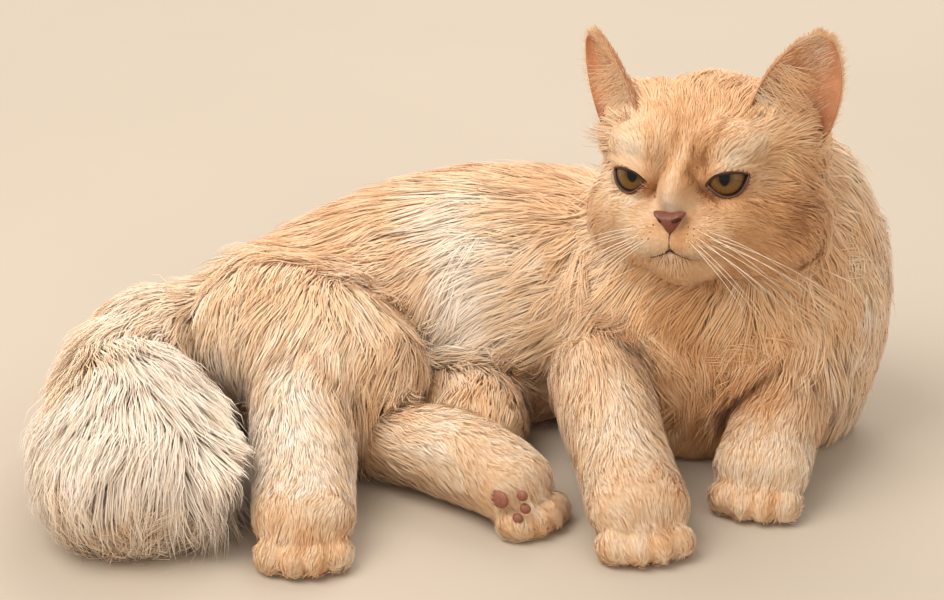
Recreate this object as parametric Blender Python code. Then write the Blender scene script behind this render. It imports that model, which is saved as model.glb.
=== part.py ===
"""A life-size model of a long-haired cat that lies on the floor.

The cat rests on its chest with both forelegs stretched towards the viewer and its hips
rolled over, so that both hind legs come out on the same side. The bushy tail is wrapped
round to the front. Everything is in metres, +Z up, with -Y towards the viewer.

The body is made of chains: ovals swept along a smooth curve, out to the tips of the coat.
A form that is built earlier keeps its shape, and the later ones are carved clear of it.
"""

import math
import random

import bmesh
import bpy
import numpy as np
from mathutils import Vector
from mathutils.bvhtree import BVHTree

GAP = 0.0003
FLOOR = 0.0
BELOW_FLOOR = -0.004
SEED = 7
SEEDS = {"chest": 11, "hips": 13}
CURVE_STEPS = 16
CAP_STEPS = (0.22, 0.62, 0.92)
SHARP_ANGLE = math.radians(50)

# A lock tapers along these shares of its length, with these shares of width and thickness.
LOCK_STEPS = (0.0, 0.36, 0.74, 1.0)
LOCK_SHAPE = ((0.62, 1.0), (1.0, 1.0), (0.68, 0.72))
LOCK_SINK = 0.006
LOCK_RISE = 1.7
LOCK_TUCK = 0.35
LOCK_ABOVE = 0.60
LOOK_ALONG = Vector((0.13, 0.21, 0.97))
LOOK_STEP = 0.000002
LOCK_ROOTED = 0.002
LOCK_CLEAR = 0.0005
SMALL_TURN = 0.018
ROW_SPACING = 0.64
LOCK_SPACING = 1.0
# What is tried for a lock that meets another part: its share of the length, a turn, a
# step along its lie, and how far its tip is lifted.
LOCK_TRIES = (
    (1.0, 0.0, 0.0, 0.0),
    (1.0, 0.5, 0.0, 0.0),
    (1.0, -0.5, 0.0, 0.0),
    (1.0, 0.0, -0.012, 0.0),
    (0.85, 0.0, 0.0, 0.006),
    (0.90, 0.0, 0.014, 0.0),
    (0.75, 0.7, 0.0, 0.004),
    (0.75, -0.7, 0.0, 0.004),
    (0.75, 0.0, 0.024, 0.003),
    (0.60, 0.0, -0.010, 0.0),
    (0.50, 0.0, 0.0, 0.006),
)

# The head has its own axes: left (the cat's left), forward (the way it faces) and up.
HEAD_CENTRE = (0.1112, 0.0123, 0.1363)
HEAD_YAW = math.radians(25.7)
HEAD_PITCH = math.radians(8.0)
HEAD_ROLL = math.radians(-6.4)
HEAD_SEGMENTS = 32
HEAD_RINGS = 23
HEAD_BLEND = 0.007
LID_BLEND = 0.002
HEAD_REACH = 0.09
FACE_DENSITY = 1.35
EYE_PLACE = (0.0215, 0.0310, 0.0080)
EYE_RADIUS = 0.0112
LID_THICKNESS = 0.0013
EYE_TURN = math.radians(20)
EYE_SLANT = math.radians(13)
EYE_WIDTH = 0.0205
EYE_UPPER = 0.0042
EYE_LOWER = 0.0062
UPPER_LID_POWER = 2.6
LID_STEPS = 6
LID_CUT = (0.3, 2.2)
NOSE_PLACE = (0.0, 0.0500, -0.0075)
NOSE_WIDTH = 0.0150
NOSE_HEIGHT = 0.0105
NOSE_DEPTH = 0.0050
NOSE_NARROW = 0.45
NOSE_SEGMENTS = 12
NOSE_RINGS = 7
NOSTRIL_PLACE = (0.0042, 0.0545, -0.0085)
NOSTRIL_RADIUS = 0.0015
MOUTH_UP = -0.0235
MOUTH_WIDTH = 0.021
MOUTH_DROP = 0.0045
MOUTH_STEPS = (0.0, 0.25, 0.5, 0.75, 1.0)
LINE_RADIUS = 0.0008
LINE_END = 0.45
LINE_DEPTH = 1.3
MOUTH_BEND = 2.4
PHILTRUM_STEP = 0.003
EAR_ROOT = (0.033, -0.006, 0.022)
EAR_TIP = (0.0575, -0.004, 0.0700)
EAR_WIDTH = 0.037
EAR_THICKNESS = 0.0022
EAR_CUP = 0.012
EAR_CURL = math.radians(62)
EAR_OUTWARD = 0.55
EAR_UPWARD = 0.10
EAR_ROWS = 7
EAR_COLUMNS = 6
EAR_END = 0.97
EAR_BELLY = 0.10
EAR_FLATTER = 0.75

COAT_COLOUR = (0.80, 0.58, 0.36, 1.0)
PALE_COLOUR = (0.88, 0.76, 0.60, 1.0)
SKIN_COLOUR = (0.62, 0.36, 0.27, 1.0)
NOSE_COLOUR = (0.50, 0.24, 0.18, 1.0)
EYE_COLOUR = (0.36, 0.24, 0.08, 1.0)

# Locks behind the face: arcs from the forward axis, and angles from left over the crown.
HEAD_ARC = 0.052
CHEEK_RINGS = (math.radians(68), math.radians(92), math.radians(116))
CHEEK_COUNT = 7
CHEEK_FROM = math.radians(-215)
CHEEK_TO = math.radians(35)

# Ellipsoids of the head, in its own axes: centre and radii. Those off the middle are
# repeated on the other side.
HEAD_FORMS = (
    ((0.000, -0.010, 0.007), (0.048, 0.044, 0.045)),
    ((0.000, 0.004, -0.018), (0.040, 0.040, 0.028)),
    ((0.027, 0.000, -0.016), (0.032, 0.032, 0.028)),
    ((0.036, -0.008, 0.012), (0.021, 0.028, 0.030)),
    ((0.019, 0.026, 0.020), (0.017, 0.015, 0.012)),
    ((0.022, 0.024, -0.010), (0.018, 0.020, 0.014)),
    ((0.0095, 0.0405, -0.0200), (0.0135, 0.0135, 0.0105)),
    ((0.000, 0.034, 0.002), (0.0095, 0.0180, 0.0130)),
    ((0.000, 0.0345, -0.0320), (0.0135, 0.0130, 0.0100)),
)


def clear_scene():
    """Removes whatever the file started with."""
    for obj in list(bpy.data.objects):
        bpy.data.objects.remove(obj, do_unlink=True)


def make_material(name, colour, roughness):
    """A plain Principled material."""
    material = bpy.data.materials.new(name)
    material.use_nodes = True
    shader = material.node_tree.nodes["Principled BSDF"]
    shader.inputs["Base Color"].default_value = colour
    shader.inputs["Roughness"].default_value = roughness
    return material


def add_object(name, points, faces):
    """A mesh object of triangles with its faces pointing out."""
    mesh = bpy.data.meshes.new(name)
    mesh.from_pydata([tuple(p) for p in points], [], [tuple(f) for f in faces])
    shape = bmesh.new()
    shape.from_mesh(mesh)
    bmesh.ops.recalc_face_normals(shape, faces=shape.faces)
    bmesh.ops.triangulate(shape, faces=shape.faces)
    shape.to_mesh(mesh)
    shape.free()
    obj = bpy.data.objects.new(name, mesh)
    bpy.context.scene.collection.objects.link(obj)
    return obj


def remove_object(obj):
    """Deletes an object together with its mesh."""
    mesh = obj.data
    bpy.data.objects.remove(obj, do_unlink=True)
    bpy.data.meshes.remove(mesh)


def tube_faces(ring_count, sides):
    """Faces between rings of points that follow each other, closed by a point at each end."""
    faces = []
    for r in range(ring_count - 1):
        for s in range(sides):
            n = (s + 1) % sides
            faces.append((r * sides + s, r * sides + n, (r + 1) * sides + n, (r + 1) * sides + s))
    last = (ring_count - 1) * sides
    for s in range(sides):
        n = (s + 1) % sides
        faces.append((n, s, ring_count * sides))
        faces.append((last + s, last + n, ring_count * sides + 1))
    return faces


def unit(vector):
    """The vector at length one."""
    vector = np.asarray(vector, float)
    return vector / np.linalg.norm(vector)


class Chain:
    """A length of the body: an oval swept along a smooth curve through its stations.

    A station is (x, y, z, half width, half height). Lengths t run along the curve from 0,
    and on past both ends over rounded caps of the lengths in caps.
    """

    def __init__(self, stations, caps=(0.0, 0.0), up=(0.0, 0.0, 1.0)):
        rows = np.array(stations, float)
        padded = np.vstack([2 * rows[0] - rows[1], rows, 2 * rows[-1] - rows[-2]])
        fine = []
        for i in range(1, len(padded) - 2):
            a, b, c, d = padded[i - 1 : i + 3]
            for s in np.linspace(0, 1, CURVE_STEPS, endpoint=False):
                cubic = (3 * b - a - 3 * c + d) * s**3 + (2 * a - 5 * b + 4 * c - d) * s**2
                fine.append(b + 0.5 * ((c - a) * s + cubic))
        fine.append(rows[-1])
        self.rows = np.array(fine)
        steps = np.linalg.norm(np.diff(self.rows[:, :3], axis=0), axis=1)
        self.along = np.concatenate([[0], np.cumsum(steps)])
        self.length = self.along[-1]
        self.tangents = np.gradient(self.rows[:, :3], self.along, axis=0)
        self.caps = caps
        self.up = np.array(up, float)

    def frame(self, t, grow=0.0, least=0.0):
        """Centre, side, up, the two half sizes of the oval and its tangent at length t."""
        inside = min(max(t, 0.0), self.length)
        row = [np.interp(inside, self.along, self.rows[:, k]) for k in range(5)]
        tangent = unit([np.interp(inside, self.along, self.tangents[:, k]) for k in range(3)])
        side = unit(np.cross(tangent, self.up))
        over = t - inside
        cap = self.caps[0] if over < 0 else self.caps[1]
        share = math.sqrt(max(0.0, 1 - (over / (cap + grow)) ** 2)) if over and cap else 1.0
        width, height = (np.array(row[3:]) + grow) * max(share, least)
        centre = np.array(row[:3]) + tangent * over
        return centre, side, np.cross(side, tangent), width, height, tangent

    def point(self, t, angle, grow=0.0, least=0.0):
        """A point of the surface, moved out by grow. Angle 0 is to the side, 90 degrees up."""
        centre, side, up, width, height, _ = self.frame(t, grow, least)
        return centre + side * width * math.cos(angle) + up * height * math.sin(angle)

    def solid(self, name, start, end, sides, rings, grow=0.0, low=FLOOR):
        """The closed form from start to end. A missing end is the rounded cap."""
        lengths = []
        first = 0.0 if start is None else start
        last = self.length if end is None else end
        if start is None:
            lengths += [-(self.caps[0] + grow) * s for s in reversed(CAP_STEPS)]
        lengths += list(np.linspace(first, last, rings))
        if end is None:
            lengths += [self.length + (self.caps[1] + grow) * s for s in CAP_STEPS]
        points = [
            self.point(t, a, grow)
            for t in lengths
            for a in np.linspace(0, 2 * math.pi, sides, endpoint=False)
        ]
        begin = first if start is not None else -(self.caps[0] + grow)
        finish = last if end is not None else self.length + self.caps[1] + grow
        points.append(self.frame(begin, grow)[0])
        points.append(self.frame(finish, grow)[0])
        points = np.array(points)
        points[:, 2] = np.maximum(points[:, 2], low)
        return add_object(name, points, tube_faces(len(lengths), sides))


def head_axes():
    """The head's left, forward and up in the world."""
    forward = np.array([-math.sin(HEAD_YAW), -math.cos(HEAD_YAW), 0.0])
    left = np.array([math.cos(HEAD_YAW), -math.sin(HEAD_YAW), 0.0])
    up = np.array([0.0, 0.0, 1.0])
    cos, sin = math.cos(HEAD_PITCH), math.sin(HEAD_PITCH)
    forward, up = forward * cos + up * sin, up * cos - forward * sin
    cos, sin = math.cos(HEAD_ROLL), math.sin(HEAD_ROLL)
    left, up = left * cos - up * sin, up * cos + left * sin
    return np.array([left, forward, up])


def to_world(points):
    """Points in the head's axes, placed in the world."""
    return np.array(HEAD_CENTRE) + np.atleast_2d(points) @ head_axes()


def head_field(points, grow=0.0):
    """Below zero inside the head, from ellipsoids that blend into each other."""
    value = None
    for centre, radii in HEAD_FORMS:
        for mirror in ((1, -1) if centre[0] else (1,)):
            middle = np.array([centre[0] * mirror, centre[1], centre[2]])
            size = np.array(radii) + grow
            near = (np.linalg.norm((points - middle) / size, axis=1) - 1) * size.min()
            value = near if value is None else smooth_least(value, near, HEAD_BLEND)
    for mirror in (1, -1):
        middle = np.array([EYE_PLACE[0] * mirror, EYE_PLACE[1], EYE_PLACE[2]])
        near = np.linalg.norm(points - middle, axis=1) - EYE_RADIUS - LID_THICKNESS - grow
        value = smooth_least(value, near, LID_BLEND)
    return value


def smooth_least(a, b, reach):
    """The smaller of two fields with a rounded join."""
    h = np.clip(0.5 + 0.5 * (b - a) / reach, 0, 1)
    return b + (a - b) * h - reach * h * (1 - h)


def head_radius(directions, grow=0.0):
    """How far the head reaches in each direction from its centre."""
    near = np.zeros(len(directions))
    far = np.full(len(directions), HEAD_REACH)
    for _ in range(22):
        middle = (near + far) / 2
        inside = head_field(directions * middle[:, None], grow) < 0
        near = np.where(inside, middle, near)
        far = np.where(inside, far, middle)
    return near


def head_solid(name, segments=HEAD_SEGMENTS, rings=HEAD_RINGS, grow=0.0):
    """The head as rings about its forward axis, closest together on the face."""
    polars = [math.pi * (r / rings) ** FACE_DENSITY for r in range(1, rings)]
    directions = about_forward(polars, segments, 0.5)
    points = to_world(directions * head_radius(directions, grow)[:, None])
    return add_object(name, points, tube_faces(rings - 1, segments))


def about_forward(polars, segments, offset=0.0):
    """Directions in rings about the forward axis, then the two poles."""
    directions = []
    for polar in polars:
        for s in range(segments):
            a = 2 * math.pi * (s + offset) / segments
            across = math.sin(polar)
            directions.append((across * math.cos(a), math.cos(polar), across * math.sin(a)))
    directions += [(0, 1, 0), (0, -1, 0)]
    return np.array(directions)


def ball(name, centre, radius, segments=12, rings=8):
    """A closed ball in the head's axes, with its poles forward and back."""
    directions = about_forward([math.pi * r / rings for r in range(1, rings)], segments)
    points = to_world(directions * radius + np.array(centre))
    return add_object(name, points, tube_faces(rings - 1, segments))


def almond(side):
    """A closed prism with the outline of the open eye, out from inside the eyeball."""
    middle = np.array([EYE_PLACE[0] * side, EYE_PLACE[1], EYE_PLACE[2]])
    outward = np.array([math.sin(EYE_TURN) * side, math.cos(EYE_TURN), 0.0])
    across = np.array([math.cos(EYE_TURN) * side, -math.sin(EYE_TURN), 0.0])
    across = across * math.cos(EYE_SLANT) + np.array([0.0, 0.0, 1.0]) * math.sin(EYE_SLANT)
    above = np.cross(across, outward) * side
    outline = []
    for i in range(LID_STEPS):
        x = -1 + 2 * i / LID_STEPS
        outline.append((x, -EYE_LOWER * (1 - x * x)))
    for i in range(LID_STEPS):
        x = 1 - 2 * i / LID_STEPS
        outline.append((x, EYE_UPPER * (1 - abs(x) ** UPPER_LID_POWER)))
    points = []
    ends = [middle + outward * EYE_RADIUS * depth for depth in LID_CUT]
    for end in ends:
        for x, z in outline:
            points.append(end + across * x * EYE_WIDTH / 2 + above * z)
    return add_object("almond", to_world(points + ends), tube_faces(2, 2 * LID_STEPS))


def on_head(left, up):
    """The point of the head's surface that lies ahead at a place left and up of its centre."""
    forward = HEAD_ARC
    for _ in range(8):
        direction = unit((left, forward, up))
        forward = (direction * head_radius(np.array([direction]))[0])[1]
    return np.array([left, forward, up])


def groove(path, radius, sides=4):
    """A closed tube along a path of places on the face, which cuts a fine groove."""
    places = [on_head(left, up) for left, up in path]
    points = []
    for i, place in enumerate(places):
        along = unit(places[min(i + 1, len(places) - 1)] - places[max(i - 1, 0)])
        out = unit(np.array([0.0, 1.0, 0.0]) - along * along[1])
        across = np.cross(along, out)
        size = radius * (LINE_END if i in (0, len(places) - 1) else 1.0)
        for s in range(sides):
            a = 2 * math.pi * s / sides
            points.append(place + out * size * LINE_DEPTH * math.cos(a) + across * size * math.sin(a))
    points += [places[0], places[-1]]
    return add_object("groove", to_world(points), tube_faces(len(places), sides))


def mouth_path(side):
    """The line of the mouth from under the nose, down and out to its corner."""
    path = []
    for x in MOUTH_STEPS:
        path.append((side * x * MOUTH_WIDTH, MOUTH_UP - MOUTH_DROP * math.sin(x * MOUTH_BEND)))
    return path


def nose_solid(name, grow=0.0, nostrils=False):
    """The bare leather of the nose, wide above and narrow below."""
    points = about_forward([math.pi * r / NOSE_RINGS for r in range(1, NOSE_RINGS)], NOSE_SEGMENTS)
    points[:, 0] *= 1.0 - NOSE_NARROW * np.minimum(points[:, 2], 0.0) ** 2
    size = np.array([NOSE_WIDTH / 2, NOSE_DEPTH, NOSE_HEIGHT / 2]) + grow
    place = to_world(points * size + np.array(NOSE_PLACE))
    obj = add_object(name, place, tube_faces(NOSE_RINGS - 1, NOSE_SEGMENTS))
    if nostrils:
        left, forward, up = NOSTRIL_PLACE
        holes = [ball("nostril", (left * side, forward, up), NOSTRIL_RADIUS, 6, 5) for side in (1, -1)]
        boolean(obj, holes, "DIFFERENCE")
    return obj


def ear_solid(name, side, grow=0.0):
    """A cupped ear: a curled leaf of flesh that opens forward and out."""
    root = np.array([EAR_ROOT[0] * side, EAR_ROOT[1], EAR_ROOT[2]])
    tip = np.array([EAR_TIP[0] * side, EAR_TIP[1], EAR_TIP[2]])
    axis = unit(tip - root)
    across = unit(np.cross(axis, (EAR_OUTWARD * side, 1.0, EAR_UPWARD)))
    facing = np.cross(across, axis)
    if facing[1] < 0:
        facing = -facing
    layers = []
    for layer in (-1, 1):
        for r in range(EAR_ROWS):
            t = EAR_END * (r / (EAR_ROWS - 1)) ** 0.85
            belly = 1 + EAR_BELLY * math.sin(math.pi * t)
            half = EAR_WIDTH / 2 * (1 - t**2.2) ** 0.72 * belly + grow
            for c in range(EAR_COLUMNS):
                s = -1 + 2 * c / (EAR_COLUMNS - 1)
                bend = s * EAR_CURL
                cup = EAR_CUP * (1 - t * EAR_FLATTER) * (1 - math.cos(bend)) / (1 - math.cos(EAR_CURL))
                place = root + (tip - root) * t + facing * cup
                place = place + across * half * math.sin(bend) / math.sin(EAR_CURL)
                thick = (EAR_THICKNESS / 2) * (1 - 0.4 * s * s) * (1 - 0.35 * t) + grow
                layers.append(place + facing * thick * layer)
    return add_object(name, to_world(layers), leaf_faces(EAR_ROWS, EAR_COLUMNS))


def leaf_faces(rows, columns):
    """Triangles, alike on both faces, of a leaf of two grids of points joined at the rim."""
    faces = []
    size = rows * columns
    for r in range(rows - 1):
        for c in range(columns - 1):
            k = r * columns + c
            faces.append((k, k + columns, k + 1))
            faces.append((k + 1, k + columns, k + columns + 1))
            faces.append((k + size, k + 1 + size, k + columns + size))
            faces.append((k + 1 + size, k + columns + 1 + size, k + columns + size))
    rim = list(range(columns))
    rim += [r * columns + columns - 1 for r in range(1, rows)]
    rim += [(rows - 1) * columns + c for c in range(columns - 2, -1, -1)]
    rim += [r * columns for r in range(rows - 2, 0, -1)]
    for i, k in enumerate(rim):
        n = rim[(i + 1) % len(rim)]
        faces.append((k, n, n + size, k + size))
    return faces


def egg(name, centre, radii, segments=12, rings=8, turn=0.0):
    """A closed egg in the world, turned about Z and flat on the floor."""
    points = []
    for r in range(1, rings):
        polar = math.pi * r / rings
        for s in range(segments):
            a = 2 * math.pi * s / segments
            points.append((math.sin(polar) * math.cos(a), math.sin(polar) * math.sin(a), math.cos(polar)))
    points += [(0, 0, 1), (0, 0, -1)]
    c, s = math.cos(turn), math.sin(turn)
    points = (np.array(points) * np.array(radii)) @ np.array([[c, s, 0], [-s, c, 0], [0, 0, 1]])
    points += np.array(centre)
    points[:, 2] = np.maximum(points[:, 2], FLOOR)
    return add_object(name, points, tube_faces(rings - 1, segments))


def keep_largest(obj):
    """Leaves only the largest closed surface of a mesh."""
    shape = bmesh.new()
    shape.from_mesh(obj.data)
    bmesh.ops.triangulate(shape, faces=shape.faces)
    shape.faces.ensure_lookup_table()
    seen = set()
    groups = []
    for face in shape.faces:
        if face.index in seen:
            continue
        seen.add(face.index)
        group = [face]
        for member in group:
            for edge in member.edges:
                for other in edge.link_faces:
                    if other.index not in seen:
                        seen.add(other.index)
                        group.append(other)
        groups.append(group)
    groups.sort(key=lambda group: sum(f.calc_area() for f in group))
    for group in groups[:-1]:
        bmesh.ops.delete(shape, geom=group, context="FACES")
    shape.to_mesh(obj.data)
    shape.free()


def boolean(obj, others, operation, solvers=("EXACT", "MANIFOLD")):
    """Applies one Boolean of obj with a list of closed meshes, and removes the meshes."""
    group = bpy.data.collections.new("operands")
    bpy.context.scene.collection.children.link(group)
    for other in others:
        group.objects.link(other)
        other.hide_render = True
        other.display_type = "WIRE"
    modifier = obj.modifiers.new("join", "BOOLEAN")
    modifier.operation = operation
    modifier.operand_type = "COLLECTION"
    modifier.collection = group
    for solver in solvers:
        modifier.solver = solver
        bpy.context.view_layer.update()
        evaluated = obj.evaluated_get(bpy.context.evaluated_depsgraph_get())
        mesh = bpy.data.meshes.new_from_object(evaluated)
        if closed(mesh):
            break
    obj.modifiers.clear()
    old = obj.data
    obj.data = mesh
    bpy.data.meshes.remove(old)
    bpy.data.collections.remove(group)
    for other in others:
        remove_object(other)
    keep_largest(obj)


def closed(mesh):
    """True where a mesh has faces and no open edge."""
    shape = bmesh.new()
    shape.from_mesh(mesh)
    whole = len(shape.faces) > 0 and all(edge.is_manifold for edge in shape.edges)
    shape.free()
    return whole


def finish(obj, material):
    """Gives a node its name's mesh, its material and smooth shading."""
    obj.data.name = obj.name
    obj.data.materials.clear()
    obj.data.materials.append(material)
    obj.data.shade_smooth()
    obj.data.set_sharp_from_angle(angle=SHARP_ANGLE)


FRONT = Chain(
    [
        (0.122, 0.030, 0.000, 0.070, 0.044),
        (0.121, 0.031, 0.035, 0.082, 0.057),
        (0.124, 0.036, 0.075, 0.085, 0.063),
        (0.124, 0.043, 0.110, 0.077, 0.054),
        (0.121, 0.046, 0.138, 0.058, 0.040),
    ],
    caps=(0.0, 0.022),
    up=(0.0, 1.0, 0.0),
)
TRUNK = Chain(
    [
        (0.110, 0.064, 0.055, 0.056, 0.058),
        (0.068, 0.074, 0.049, 0.067, 0.069),
        (0.015, 0.080, 0.046, 0.072, 0.075),
        (-0.035, 0.074, 0.044, 0.065, 0.069),
        (-0.080, 0.055, 0.040, 0.060, 0.057),
        (-0.112, 0.042, 0.037, 0.050, 0.049),
    ],
    caps=(0.030, 0.030),
)
TAIL = Chain(
    [
        (-0.118, 0.052, 0.040, 0.026, 0.030),
        (-0.152, 0.034, 0.042, 0.036, 0.040),
        (-0.165, -0.008, 0.040, 0.040, 0.042),
        (-0.158, -0.050, 0.037, 0.050, 0.042),
        (-0.149, -0.084, 0.030, 0.053, 0.036),
    ],
    caps=(0.0, 0.036),
)
FORELEG_RIGHT = Chain(
    [
        (0.060, -0.006, 0.043, 0.024, 0.027),
        (0.063, -0.030, 0.038, 0.0235, 0.026),
        (0.070, -0.066, 0.026, 0.0225, 0.022),
        (0.0755, -0.096, 0.0180, 0.0245, 0.0180),
    ],
    caps=(0.014, 0.019),
)
FORELEG_LEFT = Chain(
    [
        (0.157, 0.008, 0.040, 0.024, 0.026),
        (0.151, -0.008, 0.036, 0.024, 0.025),
        (0.141, -0.036, 0.024, 0.022, 0.021),
        (0.1345, -0.056, 0.0175, 0.0235, 0.0175),
    ],
    caps=(0.014, 0.018),
)
THIGH_RIGHT = Chain(
    [
        (-0.108, 0.038, 0.050, 0.042, 0.043),
        (-0.075, 0.012, 0.052, 0.043, 0.040),
        (-0.048, -0.008, 0.044, 0.032, 0.033),
    ],
    caps=(0.025, 0.026),
)
HIND_RIGHT = Chain(
    [
        (-0.074, -0.004, 0.048, 0.030, 0.030),
        (-0.078, -0.040, 0.036, 0.0265, 0.026),
        (-0.077, -0.074, 0.024, 0.0240, 0.022),
        (-0.0755, -0.104, 0.0170, 0.0240, 0.0170),
    ],
    caps=(0.018, 0.022),
)
THIGH_LEFT = Chain(
    [
        (-0.012, 0.034, 0.018, 0.030, 0.024),
        (-0.002, 0.008, 0.019, 0.030, 0.024),
        (0.002, -0.014, 0.018, 0.026, 0.021),
    ],
    caps=(0.012, 0.018),
)
HIND_LEFT = Chain(
    [
        (-0.040, -0.026, 0.019, 0.020, 0.019),
        (-0.012, -0.044, 0.021, 0.022, 0.021),
        (0.008, -0.060, 0.020, 0.0215, 0.020),
        (0.020, -0.072, 0.0175, 0.0210, 0.0175),
    ],
    caps=(0.014, 0.018),
)


class Coat:
    """The locks of a node: their size and how they lie.

    They run along the chain, or back along it where flow is -1, and turn by drift towards
    the floor. Depth is how far the tips stand off the core.
    """

    def __init__(self, depth, length, width, thick, flow=1, drift=0.4, splay=0.0, first=0.04, last=0.94):
        self.depth = depth
        self.length = length
        self.width = width
        self.thick = thick
        self.flow = flow
        self.drift = drift
        self.splay = splay
        self.first = first
        self.last = last


class Node:
    """One named piece of the body: a stretch of a chain between two cuts."""

    def __init__(self, name, chain, start, end, colour, sides, rings, coat=None):
        self.name = name
        self.chain = chain
        self.start = start
        self.end = end
        self.colour = colour
        self.sides = sides
        self.rings = rings
        self.coat = coat

    def span(self):
        """The lengths along the chain between which the node lies, with its caps."""
        first = -self.chain.caps[0] if self.start is None else self.start * self.chain.length
        last = self.chain.length * (1.0 if self.end is None else self.end)
        return first, last + (self.chain.caps[1] if self.end is None else 0.0)

    def solid(self, grow=0.0):
        """The node's core, which reaches half way to the tips of its locks, grown all round."""
        start = None if self.start is None else self.start * self.chain.length - grow
        end = None if self.end is None else self.end * self.chain.length + grow
        low = FLOOR if grow <= 0 else BELOW_FLOOR
        inset = self.coat.depth if self.coat else 0.0
        return self.chain.solid(self.name, start, end, self.sides, self.rings, grow - inset, low)

    def locks(self, draw):
        """The place, turn and size of each lock, in rows across the chain."""
        coat = self.coat
        first, last = self.span()
        reach = last - first
        start = first + reach * coat.first
        end = first + reach * coat.last
        rows = max(1, round((end - start) / (coat.length * ROW_SPACING)) + 1)
        for row in range(rows):
            t = start + (end - start) * (row / max(1, rows - 1) if rows > 1 else 0.5)
            if coat.flow < 0:
                t = end - (t - start)
            width, height = self.chain.frame(t, -coat.depth, 0.5)[3:5]
            around = 2 * math.pi * math.sqrt((width**2 + height**2) / 2)
            count = max(3, round(around / (coat.width * LOCK_SPACING)))
            for i in range(count):
                angle = 2 * math.pi * (i + 0.5 * (row % 2) + draw.uniform(-0.18, 0.18)) / count
                yield (
                    t + draw.uniform(-0.18, 0.18) * coat.length * ROW_SPACING,
                    angle,
                    coat.length * draw.uniform(0.85, 1.15),
                    coat.width * draw.uniform(0.85, 1.15),
                    coat.drift * draw.uniform(0.7, 1.3),
                    draw.uniform(-0.22, 0.22),
                )


LONG = Coat(0.012, 0.060, 0.033, 0.0065, drift=0.50)
RUFF = Coat(0.013, 0.052, 0.029, 0.0065, flow=-1, drift=0.0, splay=0.45, first=0.14, last=0.90)
BIB = Coat(0.010, 0.048, 0.029, 0.0060, flow=-1, drift=0.0, first=0.30, last=0.93)
PLUME = Coat(0.015, 0.054, 0.026, 0.0060, drift=0.15, splay=0.62)
THIGH = Coat(0.009, 0.048, 0.027, 0.0060, drift=0.45)
CHEEK = Coat(0.005, 0.034, 0.018, 0.0045, drift=0.30)

# Built in this order: each is carved clear of those before it.
NODES = (
    Node("forepaw_right", FORELEG_RIGHT, 0.64, None, PALE_COLOUR, 12, 3),
    Node("foreleg_right", FORELEG_RIGHT, None, 0.64, COAT_COLOUR, 12, 5),
    Node("forepaw_left", FORELEG_LEFT, 0.60, None, PALE_COLOUR, 12, 3),
    Node("foreleg_left", FORELEG_LEFT, None, 0.60, COAT_COLOUR, 12, 5),
    Node("hind_paw_right", HIND_RIGHT, 0.66, None, PALE_COLOUR, 12, 3),
    Node("hind_leg_right", HIND_RIGHT, None, 0.66, PALE_COLOUR, 12, 5),
    Node("hind_paw_left", HIND_LEFT, 0.55, None, PALE_COLOUR, 12, 3),
    Node("hind_leg_left", HIND_LEFT, None, 0.55, COAT_COLOUR, 12, 4),
    Node("thigh_right", THIGH_RIGHT, None, None, COAT_COLOUR, 14, 4, THIGH),
    Node("thigh_left", THIGH_LEFT, None, None, COAT_COLOUR, 12, 3),
    Node("neck_ruff", FRONT, 0.66, None, PALE_COLOUR, 16, 4, RUFF),
    Node("chest", FRONT, 0.0, 0.66, COAT_COLOUR, 16, 4, BIB),
    Node("tail_root", TAIL, 0.0, 0.27, COAT_COLOUR, 12, 4, PLUME),
    Node("tail_middle", TAIL, 0.27, 0.62, PALE_COLOUR, 12, 4, PLUME),
    Node("tail_plume", TAIL, 0.62, None, PALE_COLOUR, 12, 4, PLUME),
    Node("torso", TRUNK, None, 0.64, COAT_COLOUR, 16, 6, LONG),
    Node("hips", TRUNK, 0.64, None, COAT_COLOUR, 16, 4, LONG),
)

TOE_FORWARD = 0.78
TOE_ARCH = 0.42
TOE_HEIGHT = 0.86
TOE_LENGTH = 1.25
# Toes of each paw: how many, their radius, and how far across the paw they spread.
TOES = {
    "forepaw_right": (4, 0.0085, 0.78),
    "forepaw_left": (4, 0.0082, 0.78),
    "hind_paw_right": (4, 0.0082, 0.78),
    "hind_paw_left": (4, 0.0078, 0.74),
}


def near(low_a, high_a, low_b, high_b):
    """True where two boxes touch."""
    return bool(np.all(low_a < high_b + GAP) and np.all(low_b < high_a + GAP))


def bounds(obj):
    """The lowest and highest corners of a mesh."""
    points = np.array([v.co[:] for v in obj.data.vertices])
    return points.min(axis=0), points.max(axis=0)


def toes(chain, count, radius, spread):
    """Small eggs for the toes, side by side at the end of a paw."""
    centre, side, _, width, _, tangent = chain.frame(chain.length)
    pieces = []
    for i in range(count):
        share = (i + 0.5) / count * 2 - 1
        place = centre + side * width * spread * share
        place += tangent * chain.caps[1] * (TOE_FORWARD - TOE_ARCH * share**2)
        place[2] = radius * TOE_HEIGHT
        turn = math.atan2(tangent[1], tangent[0])
        pieces.append(egg("toe", place, (radius * TOE_LENGTH, radius, radius), 7, 4, turn))
    return pieces


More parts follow.
